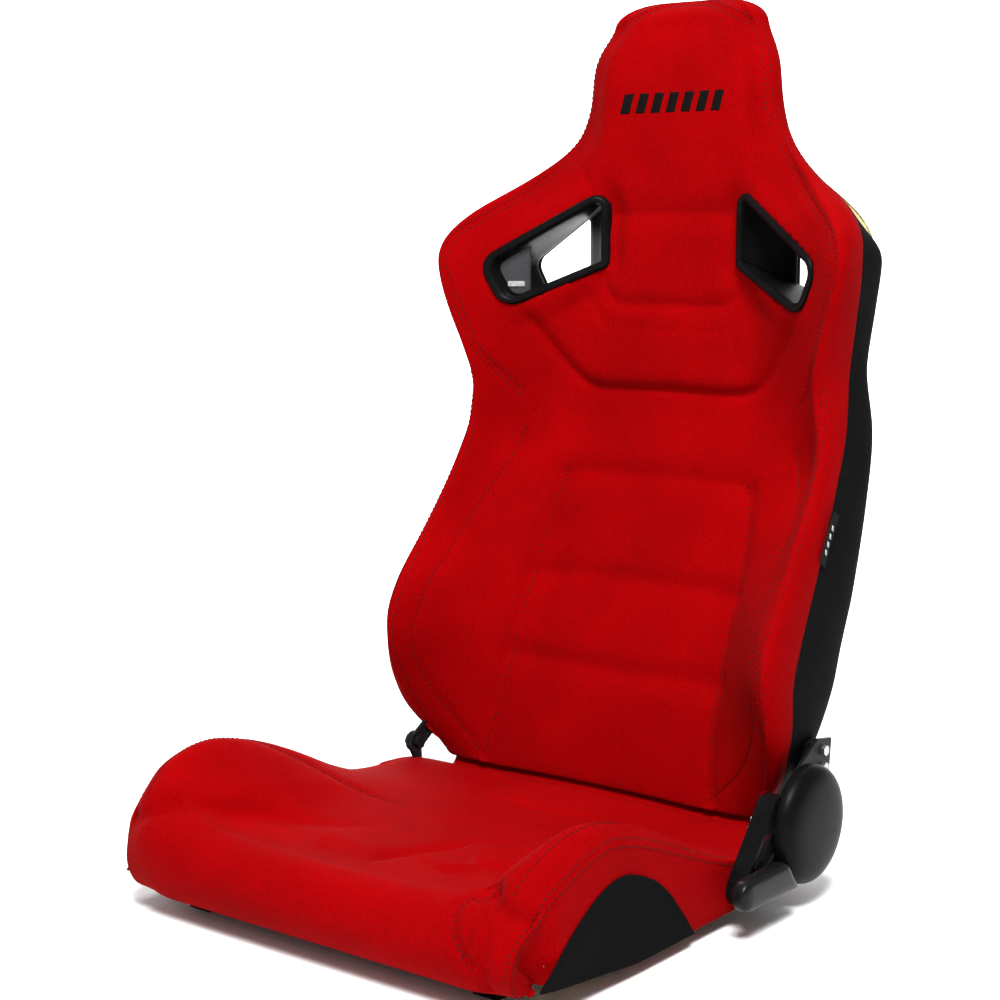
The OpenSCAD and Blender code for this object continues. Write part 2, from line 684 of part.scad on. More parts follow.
// Bent wire loop that stiffens the headrest
stay_half = [[0, 376, 863], [24, 376, 862], [42, 378, 840], [46, 376, 780], [46, 372, 700], [46, 378, 620],
    [46, 384, 535]];
function stay_line() = let (half = open_curve(stay_half, 2)) concat(
    reversed([for (q = half) [-q.x, q.y, q.z]]), [for (i = [1 : len(half) - 1]) half[i]]);

module back_hoop() {
    half = hoop_half();
    color(steel) swept_tube(concat(half, reversed([for (i = [0 : len(half) - 2]) [-half[i].x, half[i].y, half[i].z]])),
        hoop_r, 10);
}

module lower_cross_tube() {
    color(steel) x_rod(-192, 192, 262, 168, 8);
}

module upper_cross_tube() {
    path = open_curve([[-208, 366, 520], [-150, 376, 522], [0, 380, 522], [150, 376, 522], [208, 366, 520]], 2);
    color(steel) swept_tube(path, 8, 10);
}

module headrest_stay() {
    color(steel) difference() {
        swept_tube(stay_line(), stay_r, 8);
        both_sides() x_rod(26, 66, 384, 742, hoop_r + 1.2);
    }
}

module support_wires() {
    color(bright_steel) for (z = [230 : 56 : 454])
        x_rod(-(206 - hoop_r - 0.5), 206 - hoop_r - 0.5, lookup(z, foam_back) + 4.5, z, wire_r);
}

// Steel arm from the hinge up into the backrest, bent in to meet the hoop
module recliner_arm() {
    color(steel) difference() {
        union() {
            slab(arm_in, arm_out) {
                at_axis() circle(r = ring_r);
                polygon([[axis_y - 12, axis_z + 36], [axis_y + 37, axis_z - 10], [236, 116], [240, 154], [212, 158],
                    [170, 134]]);
            }
            slab(228, arm_in) translate([212, 118]) square([22, 34]);
        }
        x_rod(arm_in - 1, arm_out + 1, axis_y, axis_z, shaft_r + run_gap);
        for (z = [126, 144]) x_rod(200, arm_out + 1, 223, z, 3.3);
    }
}

// Flat arm of the plain pivot, up to the hoop's end
module pivot_arm() {
    color(steel) right_side() difference() {
        slab(arm_face - pivot_t, arm_face) {
            at_axis() circle(r = pivot_eye_r);
            polygon([[axis_y - 6, axis_z + 10], [axis_y + 9, axis_z - 7], [196, 98], [234, 118], [236, 154],
                [212, 154], [204, 128]]);
        }
        x_rod(arm_face - pivot_t - 1, arm_face + 1, axis_y, axis_z, bush_r + 0.1);
        for (z = [126, 144]) x_rod(200, arm_face + 1, 223, z, 3.3);
    }
}

module arm_bolt(from, face, z) {
    x_rod(from, face, 223, z, 3.1);
    translate([face, 223, z]) rotate([0, 90, 0]) cylinder(h = 4, r = 5.8, $fn = 6);
}

module arm_bolts() {
    color(bright_steel) for (z = [126, 144]) {
        arm_bolt(229, arm_out, z);
        right_side() arm_bolt(arm_face - pivot_t + 0.4, arm_face, z);
    }
}

// ---- harness openings ----

bezel_outline = [[85, 636], [198, 584], [226, 642], [85, 729]];
bezel_corner = [10, 22, 24, 15];
duct_outline = [[132, 615], [198, 588], [226, 642], [132, 704]];

// An outline grown by a distance, with its round corners
function corners(outline, growth) = rounded(grown(outline, growth), [for (r = bezel_corner) max(r + growth, 3)]);

function bezel_shape(growth) = corners(bezel_outline, growth);

function bezel_plane(x) = 334 - bezel_slope * (x - bezel_outline[0].x);

function duct_end(x) = 391.5 - (x - 60) * 0.168;

// The duct's outline on the front plane and at its rear end, moved back by depth
function front_ring(growth, depth) = [for (q = bezel_shape(growth)) [q.x, bezel_plane(q.x) + depth, q.y]];

function rear_ring(growth, depth) = [for (q = corners(duct_outline, growth)) [q.x, duct_end(q.x) + depth, q.y]];

// Space behind the sloping front plane, from depth a to depth b behind it
module behind_plane(a, b) {
    x0 = 60;
    x1 = 250;
    linear_extrude(760) polygon([[x0, bezel_plane(x0) + a], [x1, bezel_plane(x1) + a],
        [x1, bezel_plane(x1) + b], [x0, bezel_plane(x0) + b]]);
}

// Moulded front rim with the duct behind it
module harness_bezel() {
    color(plastic) difference() {
        union() {
            intersection() {
                curtain(200, 420) polygon(bezel_shape(0));
                behind_plane(0, 9);
            }
            loft([rear_ring(duct_t - bezel_rim, 0), front_ring(duct_t - bezel_rim, 8)]);
        }
        loft([rear_ring(-bezel_rim, 1), rear_ring(-bezel_rim, 0), front_ring(-bezel_rim, 9.5),
            front_ring(-bezel_rim, -1)]);
    }
}

// Matching rim on the rear face of the backrest
module harness_ring() {
    color(plastic) difference() {
        loft([rear_ring(0, 12.5), rear_ring(0, 0.5)]);
        loft([rear_ring(-bezel_rim, 14), rear_ring(-bezel_rim, -1)]);
    }
}

// Flat plate across the outer end of one duct, and the plain badge on it
module badge_plate() {
    color(plastic) right_side() intersection() {
        curtain(200, 420) intersection() {
            polygon(bezel_shape(-bezel_rim - 2.2));
            translate([176, 560]) square([60, 120]);
        }
        behind_plane(14, 17);
    }
}

module badge() {
    color(bright_steel) right_side() intersection() {
        curtain(200, 420) translate([180, 612]) square([18, 6]);
        behind_plane(12.4, 13.8);
    }
}

// ---- trim ----

emblem_bars = 7;

// Row of slanted raised bars across the headrest
module headrest_emblem() {
    color(black) curtain(329.4, 330.6) for (i = [0 : emblem_bars - 1]) translate([(i - (emblem_bars - 1) / 2) * 20 - 3, 808])
        polygon([[-6, 0], [6, 0], [12, 22], [0, 22]]);
}

// Plain folded tag sewn in the side seam
module side_tag() {
    color(black) translate([253.4, 250, 360]) rotate([-29, 0, 0]) cube([1.4, 13, 58], center = true);
}

// ---- nodes ----

side_rail();  // side_rail_left
right_side() side_rail();  // side_rail_right
weld_nuts();
front_cross_tube();
rear_cross_tube();
recliner_bracket();
pivot_bracket();
pivot_bolt();
pivot_bush();
bracket_bolts();
seat_springs();
spring_clips();
cushion_foam();
cushion_cover();
cushion_panel();  // cushion_panel_left
right_side() cushion_panel();  // cushion_panel_right
recliner_plate();
recliner_cover();
hinge_cap();
lever_spring();
back_hoop();
lower_cross_tube();
upper_cross_tube();
headrest_stay();
support_wires();
recliner_arm();
pivot_arm();
tooth_ring();
arm_bolts();
backrest_foam();
backrest_cover();
back_panel();
harness_bezel();  // harness_bezel_left
right_side() harness_bezel();  // harness_bezel_right
harness_ring();  // harness_ring_left
right_side() harness_ring();  // harness_ring_right
badge_plate();
badge();
headrest_emblem();
side_tag();
release_shaft();
lever();
lever_grip();
pawl(1);  // pawl_upper
pawl(-1);  // pawl_lower
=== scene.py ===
import math

import bmesh
import bpy
import numpy as np
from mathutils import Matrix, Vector
from mathutils.bvhtree import BVHTree


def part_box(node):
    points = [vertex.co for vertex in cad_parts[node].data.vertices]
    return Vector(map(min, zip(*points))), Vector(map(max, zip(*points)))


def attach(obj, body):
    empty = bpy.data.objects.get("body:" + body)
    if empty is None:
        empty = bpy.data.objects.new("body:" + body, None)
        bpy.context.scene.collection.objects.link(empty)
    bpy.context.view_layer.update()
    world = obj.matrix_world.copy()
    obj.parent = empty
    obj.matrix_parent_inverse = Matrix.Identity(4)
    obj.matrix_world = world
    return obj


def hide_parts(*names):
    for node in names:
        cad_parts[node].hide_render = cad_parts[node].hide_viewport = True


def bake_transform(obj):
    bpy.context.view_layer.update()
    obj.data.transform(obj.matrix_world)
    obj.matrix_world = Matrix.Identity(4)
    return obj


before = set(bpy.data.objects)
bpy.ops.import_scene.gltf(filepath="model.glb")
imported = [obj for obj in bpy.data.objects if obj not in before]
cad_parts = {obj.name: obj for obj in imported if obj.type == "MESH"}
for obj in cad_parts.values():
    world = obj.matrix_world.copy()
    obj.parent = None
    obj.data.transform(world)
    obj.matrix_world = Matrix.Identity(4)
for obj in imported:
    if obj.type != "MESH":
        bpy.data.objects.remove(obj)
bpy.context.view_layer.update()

# Lengths below are millimetres in the CAD frame; make_piece turns them into metres.
MM = 0.001
AXIS_Y, AXIS_Z = 158.0, 85.0
SIDES = {"left": 1, "right": -1}

# ---------------------------------------------------------------- curves


def smooth(rows, at):
    """Values of a curve given as [place, value] rows, rounded between its points."""
    x, y = np.array(rows, float).T
    at = np.clip(at, x[0], x[-1])
    run = np.diff(x)
    slope = np.diff(y) / run
    m = np.zeros_like(x)
    product = slope[1:] * slope[:-1]
    total = np.where(product > 0, slope[1:] + slope[:-1], 1)
    m[1:-1] = np.where(product > 0, 2 * product / total, 0)
    m[0], m[-1] = slope[0], slope[-1]
    i = np.clip(np.searchsorted(x, at) - 1, 0, len(run) - 1)
    t = (at - x[i]) / run[i]
    h = run[i]
    return ((2 * t**3 - 3 * t**2 + 1) * y[i] + (t**3 - 2 * t**2 + t) * h * m[i]
            + (3 * t**2 - 2 * t**3) * y[i + 1] + (t**3 - t**2) * h * m[i + 1])


def through(points, counts, closed=False):
    """Catmull-Rom curve through points[k] (any trailing shape), counts[k] steps after each."""
    p = np.asarray(points, float)
    n = len(p)
    out = []
    for k in range(n if closed else n - 1):
        ids = [k - 1, k, k + 1, k + 2]
        ids = [i % n for i in ids] if closed else [min(max(i, 0), n - 1) for i in ids]
        a, b, c, d = (p[i] for i in ids)
        for s in range(counts[k]):
            t = s / counts[k]
            out.append(0.5 * (2 * b + (c - a) * t + (2 * a - 5 * b + 4 * c - d) * t**2
                              + (3 * b - a - 3 * c + d) * t**3))
    if not closed:
        out.append(p[-1])
    return np.array(out)


def rounded_outline(corners, radii, steps=8):
    """A polygon with each corner turned into an arc."""
    p = np.array(corners, float)
    out = []
    for i, r in enumerate(radii):
        u = p[i] - p[i - 1]
        v = p[(i + 1) % len(p)] - p[i]
        u, v = u / np.linalg.norm(u), v / np.linalg.norm(v)
        turn = math.atan2(u[0] * v[1] - u[1] * v[0], u @ v)
        start = p[i] - u * r * math.tan(turn / 2)
        centre = start + np.array([-u[1], u[0]]) * r
        a0 = math.atan2(start[1] - centre[1], start[0] - centre[0])
        for k in range(steps + 1):
            a = a0 + turn * k / steps
            out.append(centre + r * np.array([math.cos(a), math.sin(a)]))
    return np.array(out)


def resampled(line, step):
    """Points every step along a polyline."""
    line = np.asarray(line, float)
    gaps = np.linalg.norm(np.diff(line, axis=0), axis=1)
    place = np.concatenate([[0], np.cumsum(gaps)])
    at = np.arange(0, place[-1], step)
    return np.stack([np.interp(at, place, line[:, k]) for k in range(line.shape[1])], -1)


def curve(corners, step):
    """Points every step along a smooth curve through some places."""
    return resampled(through(np.array(corners, float), [6] * (len(corners) - 1)), step)


def near(points, line):
    """Distance from every point to a 3-D polyline, and how far along it the nearest place is."""
    best = np.full(len(points), 1e9)
    share = np.zeros(len(points))
    for i in range(len(line) - 1):
        a, d = line[i], line[i + 1] - line[i]
        t = np.clip(((points - a) @ d) / max(d @ d, 1e-9), 0, 1)
        gap = np.linalg.norm(points - a - t[:, None] * d, axis=1)
        closer = gap < best
        best = np.where(closer, gap, best)
        share = np.where(closer, (i + t) / (len(line) - 1), share)
    return best, share


# ---------------------------------------------------------------- meshes


def make_piece(name, points, faces, material, uv=None):
    """A mesh object from points in millimetres."""
    mesh = bpy.data.meshes.new(name)
    mesh.from_pydata((np.asarray(points, float) * MM).tolist(), [], faces)
    mesh.validate()
    if uv is not None:
        layer = mesh.uv_layers.new(name="weave")
        loops = np.zeros(len(mesh.loops), int)
        mesh.loops.foreach_get("vertex_index", loops)
        layer.data.foreach_set("uv", (np.asarray(uv) * MM)[loops].ravel())
    obj = bpy.data.objects.new(name, mesh)
    bpy.context.scene.collection.objects.link(obj)
    mesh.materials.append(material)
    mesh.shade_smooth()
    return obj


def modify(obj, kind, **settings):
    modifier = obj.modifiers.new(kind.lower(), kind)
    for key, value in settings.items():
        setattr(modifier, key, value)
    return modifier


def settle(obj):
    """Applies the modifiers of a piece."""
    graph = bpy.context.evaluated_depsgraph_get()
    mesh = bpy.data.meshes.new_from_object(obj.evaluated_get(graph), depsgraph=graph)
    old = obj.data
    obj.modifiers.clear()
    obj.data = mesh
    bpy.data.meshes.remove(old)
    return obj


def outward(obj):
    """Turns every face of a closed piece outwards."""
    bm = bmesh.new()
    bm.from_mesh(obj.data)
    bmesh.ops.recalc_face_normals(bm, faces=bm.faces)
    bm.to_mesh(obj.data)
    bm.free()
    return obj


def coords(obj):
    out = np.zeros(len(obj.data.vertices) * 3)
    obj.data.vertices.foreach_get("co", out)
    return out.reshape(-1, 3) / MM


def place(obj, points):
    obj.data.vertices.foreach_set("co", (np.asarray(points) * MM).ravel())
    obj.data.update()


def normals(obj):
    out = np.zeros(len(obj.data.vertices) * 3)
    obj.data.vertex_normals.foreach_get("vector", out)
    return out.reshape(-1, 3)


def grid_faces(rows, cols, around=False, flip=False):
    faces = []
    for i in range(rows - 1):
        for j in range(cols if around else cols - 1):
            k = (j + 1) % cols
            face = (i * cols + j, i * cols + k, (i + 1) * cols + k, (i + 1) * cols + j)
            faces.append(face[::-1] if flip else face)
    return faces


def grid_uv(grid):
    """Cloth coordinates of a grid of points: lengths along its rows and its columns."""
    across = np.zeros(grid.shape[:2])
    across[:, 1:] = np.cumsum(np.linalg.norm(np.diff(grid, axis=1), axis=2), 1)
    across -= across[:, grid.shape[1] // 2][:, None]
    along = np.zeros(grid.shape[:2])
    along[1:] = np.cumsum(np.linalg.norm(np.diff(grid, axis=0), axis=2), 0)
    return np.stack([across, along], -1).reshape(-1, 2)


def sheet_piece(name, grid, material, flip=False):
    rows, cols = grid.shape[:2]
    return make_piece(name, grid.reshape(-1, 3), grid_faces(rows, cols, flip=flip), material, grid_uv(grid))


def capped(rows, count):
    """Faces of a closed form: rings of points joined in order, with both ends closed."""
    ends = [tuple(range(count))[::-1], tuple((rows - 1) * count + j for j in range(count))]
    return grid_faces(rows, count, around=True) + ends


def lofted(name, grid, material):
    """A closed piece through rings of points."""
    return outward(make_piece(name, grid.reshape(-1, 3), capped(*grid.shape[:2]), material))


def sewn_border(grid, start=3):
    """Ids of the points along a sheet's own edges, which are sewn down."""
    rows, cols = grid.shape[:2]
    index = np.arange(rows * cols).reshape(rows, cols)
    bands = (index[:start], index[-2:], index[:, :2], index[:, -2:])
    return np.concatenate([band.ravel() for band in bands])


def duct_ring(inset, share, depth):
    """One ring of a duct: an inset from its outline, a share of the way back, and a depth behind that."""
    front, rear = bezel_outline(), bezel_outline(True)
    front = front + inward_normals(front) * inset
    rear = rear + inward_normals(rear) * inset
    xz = front * (1 - share) + rear * share
    y = bezel_plane(front[:, 0]) * (1 - share) + duct_end(rear[:, 0]) * share + depth
    return np.stack([xz[:, 0], y, xz[:, 1]], -1)


def swept(name, profile, material):
    """A closed moulding carried round a duct: profile rows are [inset, share of the way back, depth]."""
    grid = np.array([duct_ring(*row) for row in profile])
    rows, cols = grid.shape[:2]
    faces = grid_faces(rows, cols, around=True)
    last = (rows - 1) * cols
    faces += [(last + j, last + (j + 1) % cols, (j + 1) % cols, j) for j in range(cols)]
    return outward(make_piece(name, grid.reshape(-1, 3), faces, material))


def inward_normals(outline):
    edge = np.roll(outline, -1, 0) - np.roll(outline, 1, 0)
    edge /= np.linalg.norm(edge, axis=1)[:, None]
    return np.stack([-edge[:, 1], edge[:, 0]], -1)


# ---------------------------------------------------------------- materials


class Nodes:
    """Short way to write a node tree."""

    def __init__(self, name):
        self.material = bpy.data.materials.new(name)
        self.material.use_nodes = True
        self.tree = self.material.node_tree
        self.shader = self.tree.nodes["Principled BSDF"]

    def add(self, kind, inputs=None, **settings):
        node = self.tree.nodes.new("ShaderNode" + kind)
        for key, value in settings.items():
            setattr(node, key, value)
        for key, value in (inputs or {}).items():
            self.put(node.inputs[key], value)
        return node

    def put(self, socket, value):
        if isinstance(value, bpy.types.NodeSocket):
            self.tree.links.new(value, socket)
        else:
            socket.default_value = value

    def math(self, operation, a, b=0.0, c=0.0):
        node = self.add("Math", operation=operation)
        for socket, value in zip(node.inputs, (a, b, c)):
            self.put(socket, value)
        return node.outputs[0]

    def ramp(self, factor, stops):
        node = self.add("ValToRGB", {"Fac": factor})
        elements = node.color_ramp.elements
        while len(elements) < len(stops):
            elements.new(0.5)
        for element, (position, colour) in zip(elements, stops):
            element.position = position
            element.color = (*colour, 1) if len(colour) == 3 else colour
        return node.outputs["Color"]

    def mix(self, factor, a, b):
        node = self.add("Mix", data_type="RGBA")
        for key, value in (("Factor", factor), ("A", a), ("B", b)):
            sockets = [s for s in node.inputs if s.name == key and s.enabled]
            value = (*value, 1) if isinstance(value, tuple) and len(value) == 3 else value
            self.put(sockets[-1] if key != "Factor" else sockets[0], value)
        return [s for s in node.outputs if s.enabled][0]

    def noise(self, vector, scale, detail=3.0, roughness=0.5):
        inputs = {"Vector": vector, "Scale": scale, "Detail": detail, "Roughness": roughness}
        return self.add("TexNoise", inputs).outputs["Fac"]

    def bump(self, height, strength, distance, below=None):
        inputs = {"Height": height, "Strength": strength, "Distance": distance}
        if below is not None:
            inputs["Normal"] = below
        return self.add("Bump", inputs).outputs["Normal"]

    def finish(self, colour, roughness, normal=None, **constants):
        self.put(self.shader.inputs["Base Color"], (*colour, 1) if isinstance(colour, tuple) else colour)
        self.put(self.shader.inputs["Roughness"], roughness)
        if normal is not None:
            self.put(self.shader.inputs["Normal"], normal)
        for key, value in constants.items():
            self.shader.inputs[key.replace("_", " ")].default_value = value
        return self.material


def object_space(n):
    return n.add("TexCoord").outputs["Object"]


def cloth_space(n, own_uv):
    return n.add("UVMap", uv_map="weave").outputs["UV"] if own_uv else object_space(n)


def knitted(name, dark, bright, rib=0.0019, stitch=0.0012, own_uv=True, depth=0.00022, sheen=0.03):
    """Ribbed upholstery cloth: short raised loops in staggered columns, with a little pile, and painted shade
    between the loops.
    """
    n = Nodes(name)
    space = cloth_space(n, own_uv)
    solid = object_space(n)
    parts = n.add("SeparateXYZ", {"Vector": space}).outputs
    across = n.math("MULTIPLY", parts[0], 2 * math.pi / rib)
    column = n.math("FLOOR", n.math("MULTIPLY", parts[0], 1 / rib))
    along = n.math("MULTIPLY_ADD", parts[1], 2 * math.pi / stitch, n.math("MULTIPLY", column, math.pi))
    loops = n.math("MULTIPLY", n.math("ABSOLUTE", n.math("SINE", n.math("MULTIPLY", across, 0.5))),
                   n.math("MULTIPLY_ADD", n.math("SINE", along), 0.5, 0.5))
    pile = n.noise(solid, 1900.0, 2.0, 0.7)
    wash = n.noise(solid, 9.0, 4.0, 0.55)
    fleck = n.noise(solid, 420.0, 3.0, 0.65)
    patches = n.math("MULTIPLY_ADD", wash, 0.3, n.math("MULTIPLY", fleck, 0.36))
    # the loops also set the colour, darker where they dip between each other: painted shade between the
    # loops, on top of their bump
    shade = n.math("MULTIPLY_ADD", loops, 0.34, patches)
    colour = n.ramp(shade, [(0.22, dark), (0.72, bright)])
    roughness = n.math("MULTIPLY_ADD", pile, 0.14, 0.74)
    soft = n.bump(wash, 0.25, 0.004)
    normal = n.bump(n.math("MULTIPLY_ADD", pile, 0.5, loops), 0.7, depth, soft)
    return n.finish(colour, roughness, normal, Sheen_Weight=sheen, Sheen_Roughness=0.45,
                    Sheen_Tint=(1.0, 0.12, 0.12, 1.0), Specular_IOR_Level=0.015)


def twill(name, dark, bright, pitch=0.0014, own_uv=True, slant=1.0):
    """Plain black cover cloth with a fine diagonal."""
    n = Nodes(name)
    parts = n.add("SeparateXYZ", {"Vector": cloth_space(n, own_uv)}).outputs
    solid = object_space(n)
    third = n.math("MULTIPLY", parts[2], 0.0 if own_uv else 1.0)
    run = n.math("ADD", n.math("MULTIPLY_ADD", parts[1], slant, third), parts[0])
    lines = n.math("MULTIPLY_ADD", n.math("SINE", n.math("MULTIPLY", run, 2 * math.pi / pitch)), 0.5, 0.5)
    fuzz = n.noise(solid, 1500.0, 2.0, 0.7)
    wash = n.noise(solid, 14.0, 4.0, 0.6)
    patches = n.math("MULTIPLY_ADD", wash, 0.35, n.math("MULTIPLY", fuzz, 0.25))
    shade = n.math("MULTIPLY_ADD", lines, 0.4, patches)
    colour = n.ramp(shade, [(0.25, dark), (0.75, bright)])
    normal = n.bump(n.math("MULTIPLY_ADD", fuzz, 0.5, lines), 0.55, 0.00018, n.bump(wash, 0.2, 0.003))
    return n.finish(colour, n.math("MULTIPLY_ADD", fuzz, 0.15, 0.78), normal, Specular_IOR_Level=0.03)


def thread(name, dark, bright):
    """Twisted sewing thread."""
    n = Nodes(name)
    solid = object_space(n)
    twist = n.noise(solid, 2600.0, 2.0, 0.6)
    tone = n.noise(solid, 60.0, 2.0, 0.5)
    shade = n.math("MULTIPLY_ADD", twist, 0.6, n.math("MULTIPLY", tone, 0.4))
    colour = n.ramp(shade, [(0.3, dark), (0.7, bright)])
    return n.finish(colour, n.math("MULTIPLY_ADD", twist, 0.2, 0.6), n.bump(twist, 0.6, 0.0002),
                    Specular_IOR_Level=0.15)


def satin_stitch(name, dark, bright):
    """Embroidery: close parallel threads across each bar."""
    n = Nodes(name)
    solid = object_space(n)
    parts = n.add("SeparateXYZ", {"Vector": solid}).outputs
    run = n.math("MULTIPLY_ADD", parts[0], 0.25, parts[2])
    rows = n.math("MULTIPLY_ADD", n.math("SINE", n.math("MULTIPLY", run, 2 * math.pi / 0.0011)), 0.5, 0.5)
    fuzz = n.noise(solid, 1400.0, 2.0, 0.6)
    shade = n.math("MULTIPLY_ADD", rows, 0.6, n.math("MULTIPLY", fuzz, 0.4))
    colour = n.ramp(shade, [(0.2, dark), (0.9, bright)])
    return n.finish(colour, n.math("MULTIPLY_ADD", fuzz, 0.2, 0.6), n.bump(rows, 0.8, 0.0003),
                    Specular_IOR_Level=0.03)


def moulded(name, dark, bright, rough=0.36, grain=900.0, depth=0.00006, specular=0.05):
    """Satin black plastic with a fine moulded grain, rubbed a little lighter here and there."""
    n = Nodes(name)
    solid = object_space(n)
    fine = n.noise(solid, grain, 3.0, 0.6)
    broad = n.noise(solid, 22.0, 5.0, 0.6)
    pits = n.add("TexVoronoi", {"Vector": solid, "Scale": grain * 0.8}).outputs["Distance"]
    shade = n.math("MULTIPLY_ADD", broad, 0.7, n.math("MULTIPLY", fine, 0.3))
    colour = n.ramp(shade, [(0.3, dark), (0.75, bright)])
    scuffs = n.noise(solid, 140.0, 6.0, 0.75)
    roughness = n.math("ADD", n.math("MULTIPLY_ADD", broad, 0.12, rough - 0.06),
                       n.math("MULTIPLY", n.math("POWER", scuffs, 4.0), 0.5))
    normal = n.bump(n.math("MULTIPLY_ADD", pits, 0.5, fine), 0.45, depth)
    return n.finish(colour, roughness, normal, Specular_IOR_Level=specular)


def painted_steel(name, dark, bright):
    """Black powder coat: orange peel, with bare metal starting to show where it rubs."""
    n = Nodes(name)
    solid = object_space(n)
    peel = n.noise(solid, 520.0, 2.0, 0.5)
    broad = n.noise(solid, 18.0, 5.0, 0.6)
    worn = n.math("GREATER_THAN", n.math("MULTIPLY_ADD", n.noise(solid, 260.0, 4.0, 0.7), 0.35,
                                         n.math("MULTIPLY", broad, 0.8)), 0.72)
    paint = n.ramp(broad, [(0.3, dark), (0.75, bright)])
    colour = n.mix(worn, paint, (0.05, 0.05, 0.053))
    return n.finish(colour, n.math("MULTIPLY_ADD", peel, 0.2, 0.36), n.bump(peel, 0.35, 0.0002),
                    Specular_IOR_Level=0.1)


def plated_steel(name, dark, bright, rough=0.32):
    """Zinc plate: soft spangle, fine scratches, duller in patches."""
    n = Nodes(name)
    solid = object_space(n)
    spangle = n.add("TexVoronoi", {"Vector": solid, "Scale": 240.0}).outputs["Color"]
    tone = n.add("SeparateColor", {"Color": spangle}).outputs[0]
    stretched = n.add("Mapping", {"Vector": solid, "Scale": (900.0, 60.0, 60.0)}).outputs["Vector"]
    scratch = n.noise(stretched, 1.0, 3.0, 0.6)
    broad = n.noise(solid, 30.0, 4.0, 0.6)
    shade = n.math("MULTIPLY_ADD", tone, 0.4, n.math("MULTIPLY", broad, 0.6))
    colour = n.ramp(shade, [(0.2, dark), (0.8, bright)])
    roughness = n.math("MULTIPLY_ADD", scratch, 0.2, n.math("MULTIPLY_ADD", broad, 0.15, rough - 0.1))
    return n.finish(colour, roughness, n.bump(scratch, 0.25, 0.00008), Metallic=1.0)


def open_foam(name):
    """Moulded seat foam: small open cells under a thin skin."""
    n = Nodes(name)
    solid = object_space(n)
    cells = n.add("TexVoronoi", {"Vector": solid, "Scale": 420.0}).outputs["Distance"]
    broad = n.noise(solid, 26.0, 5.0, 0.6)
    colour = n.ramp(n.math("MULTIPLY_ADD", cells, 0.5, n.math("MULTIPLY", broad, 0.5)),
                    [(0.2, (0.30, 0.24, 0.10)), (0.75, (0.62, 0.54, 0.30))])
    return n.finish(colour, n.math("MULTIPLY_ADD", broad, 0.1, 0.85), n.bump(cells, 0.8, 0.0012),
                    Specular_IOR_Level=0.2)


RED = knitted("red_knit", (0.12, 0.0, 0.0003), (0.34, 0.0002, 0.0012))
BLACK_CLOTH = twill("black_twill", (0.0012, 0.0012, 0.0014), (0.006, 0.006, 0.0066))
RED_THREAD = thread("red_thread", (0.02, 0.0004, 0.0005), (0.085, 0.0008, 0.0012))
EMBROIDERY = satin_stitch("black_embroidery", (0.0015, 0.0012, 0.0012), (0.009, 0.007, 0.007))
PLASTIC = moulded("black_plastic", (0.0016, 0.0016, 0.0018), (0.005, 0.005, 0.0054))
GREY_PLASTIC = moulded("grey_plastic", (0.028, 0.029, 0.031), (0.05, 0.052, 0.055), rough=0.42)
GRIP = moulded("lever_plastic", (0.003, 0.003, 0.0033), (0.008, 0.008, 0.0085), rough=0.27, specular=0.12)
STEEL = painted_steel("black_powder_coat", (0.004, 0.004, 0.0045), (0.011, 0.011, 0.012))
ZINC = plated_steel("zinc_plate", (0.36, 0.36, 0.35), (0.62, 0.62, 0.60))
BADGE = plated_steel("brushed_badge", (0.42, 0.42, 0.43), (0.7, 0.7, 0.71), rough=0.34)
FOAM = open_foam("seat_foam")

# ---------------------------------------------------------------- backrest shape, by height

INSERT_Y = [[68, 188], [100, 195], [190, 224], [286, 266], [340, 288], [400, 308], [497, 333],
            [700, 333], [830, 335], [880, 342], [904, 352]]
INSERT_X = [[68, 150], [100, 152], [200, 140], [380, 130], [560, 126], [700, 110], [780, 88],
            [860, 84], [904, 60]]
BOLSTER_X = [[68, 196], [120, 219], [180, 232], [240, 226], [280, 215], [400, 203], [520, 200],
             [620, 222], [660, 224], [720, 176], [780, 116], [860, 100], [904, 80]]
BOLSTER_Y = [[68, 188], [120, 172], [180, 150], [220, 142], [260, 160], [320, 214], [400, 284],
             [440, 300], [520, 290], [640, 262], [680, 276], [740, 326], [780, 340], [860, 340],
             [904, 354]]
EDGE_X = [[68, 206], [100, 226], [140, 243], [180, 252], [260, 249], [380, 238], [460, 233],
          [510, 229], [540, 235], [580, 249], [620, 261], [648, 265], [668, 260], [690, 245],
          [730, 194], [760, 156], [790, 130], [820, 120], [860, 116], [885, 107], [904, 92]]
EDGE_Y = [[68, 192], [100, 176], [140, 158], [200, 133], [240, 128], [270, 140], [340, 192],
          [420, 246], [460, 262], [500, 262], [540, 252], [640, 240], [665, 246], [700, 274],
          [740, 320], [780, 344], [860, 346], [904, 356]]
SIDE_X = [[68, 212], [100, 234], [140, 254], [180, 261.5], [260, 258], [380, 249], [480, 243],
          [520, 243], [580, 257], [640, 267], [665, 264], [700, 238], [740, 176], [780, 134],
          [820, 122], [860, 117], [904, 98]]
SIDE_Y = [[68, 214], [120, 184], [154, 172], [210, 172], [258, 192], [325, 232], [403, 276],
          [473, 306], [525, 308], [580, 294], [640, 286], [680, 299], [740, 343], [780, 367],
          [860, 370], [904, 374]]
REAR_X = [[68, 206], [120, 232], [200, 240], [400, 235], [520, 230], [600, 240], [650, 246],
          [690, 205], [740, 146], [780, 103], [820, 96], [860, 93], [904, 80]]
REAR_Y = [[68, 262], [120, 278], [220, 308], [303, 341], [387, 368], [462, 383], [540, 366],
          [667, 366], [740, 388], [777, 404], [820, 400], [863, 395], [904, 387]]
HIND_Y = [[68, 270], [120, 290], [200, 322], [300, 362], [400, 392], [462, 404], [540, 398],
          [640, 398], [740, 412], [780, 418], [820, 416], [863, 410], [904, 398]]
TILT = [[68, 0.48], [100, 0.42], [200, 0.12], [280, 0]]
TILT_FROM = 188.0
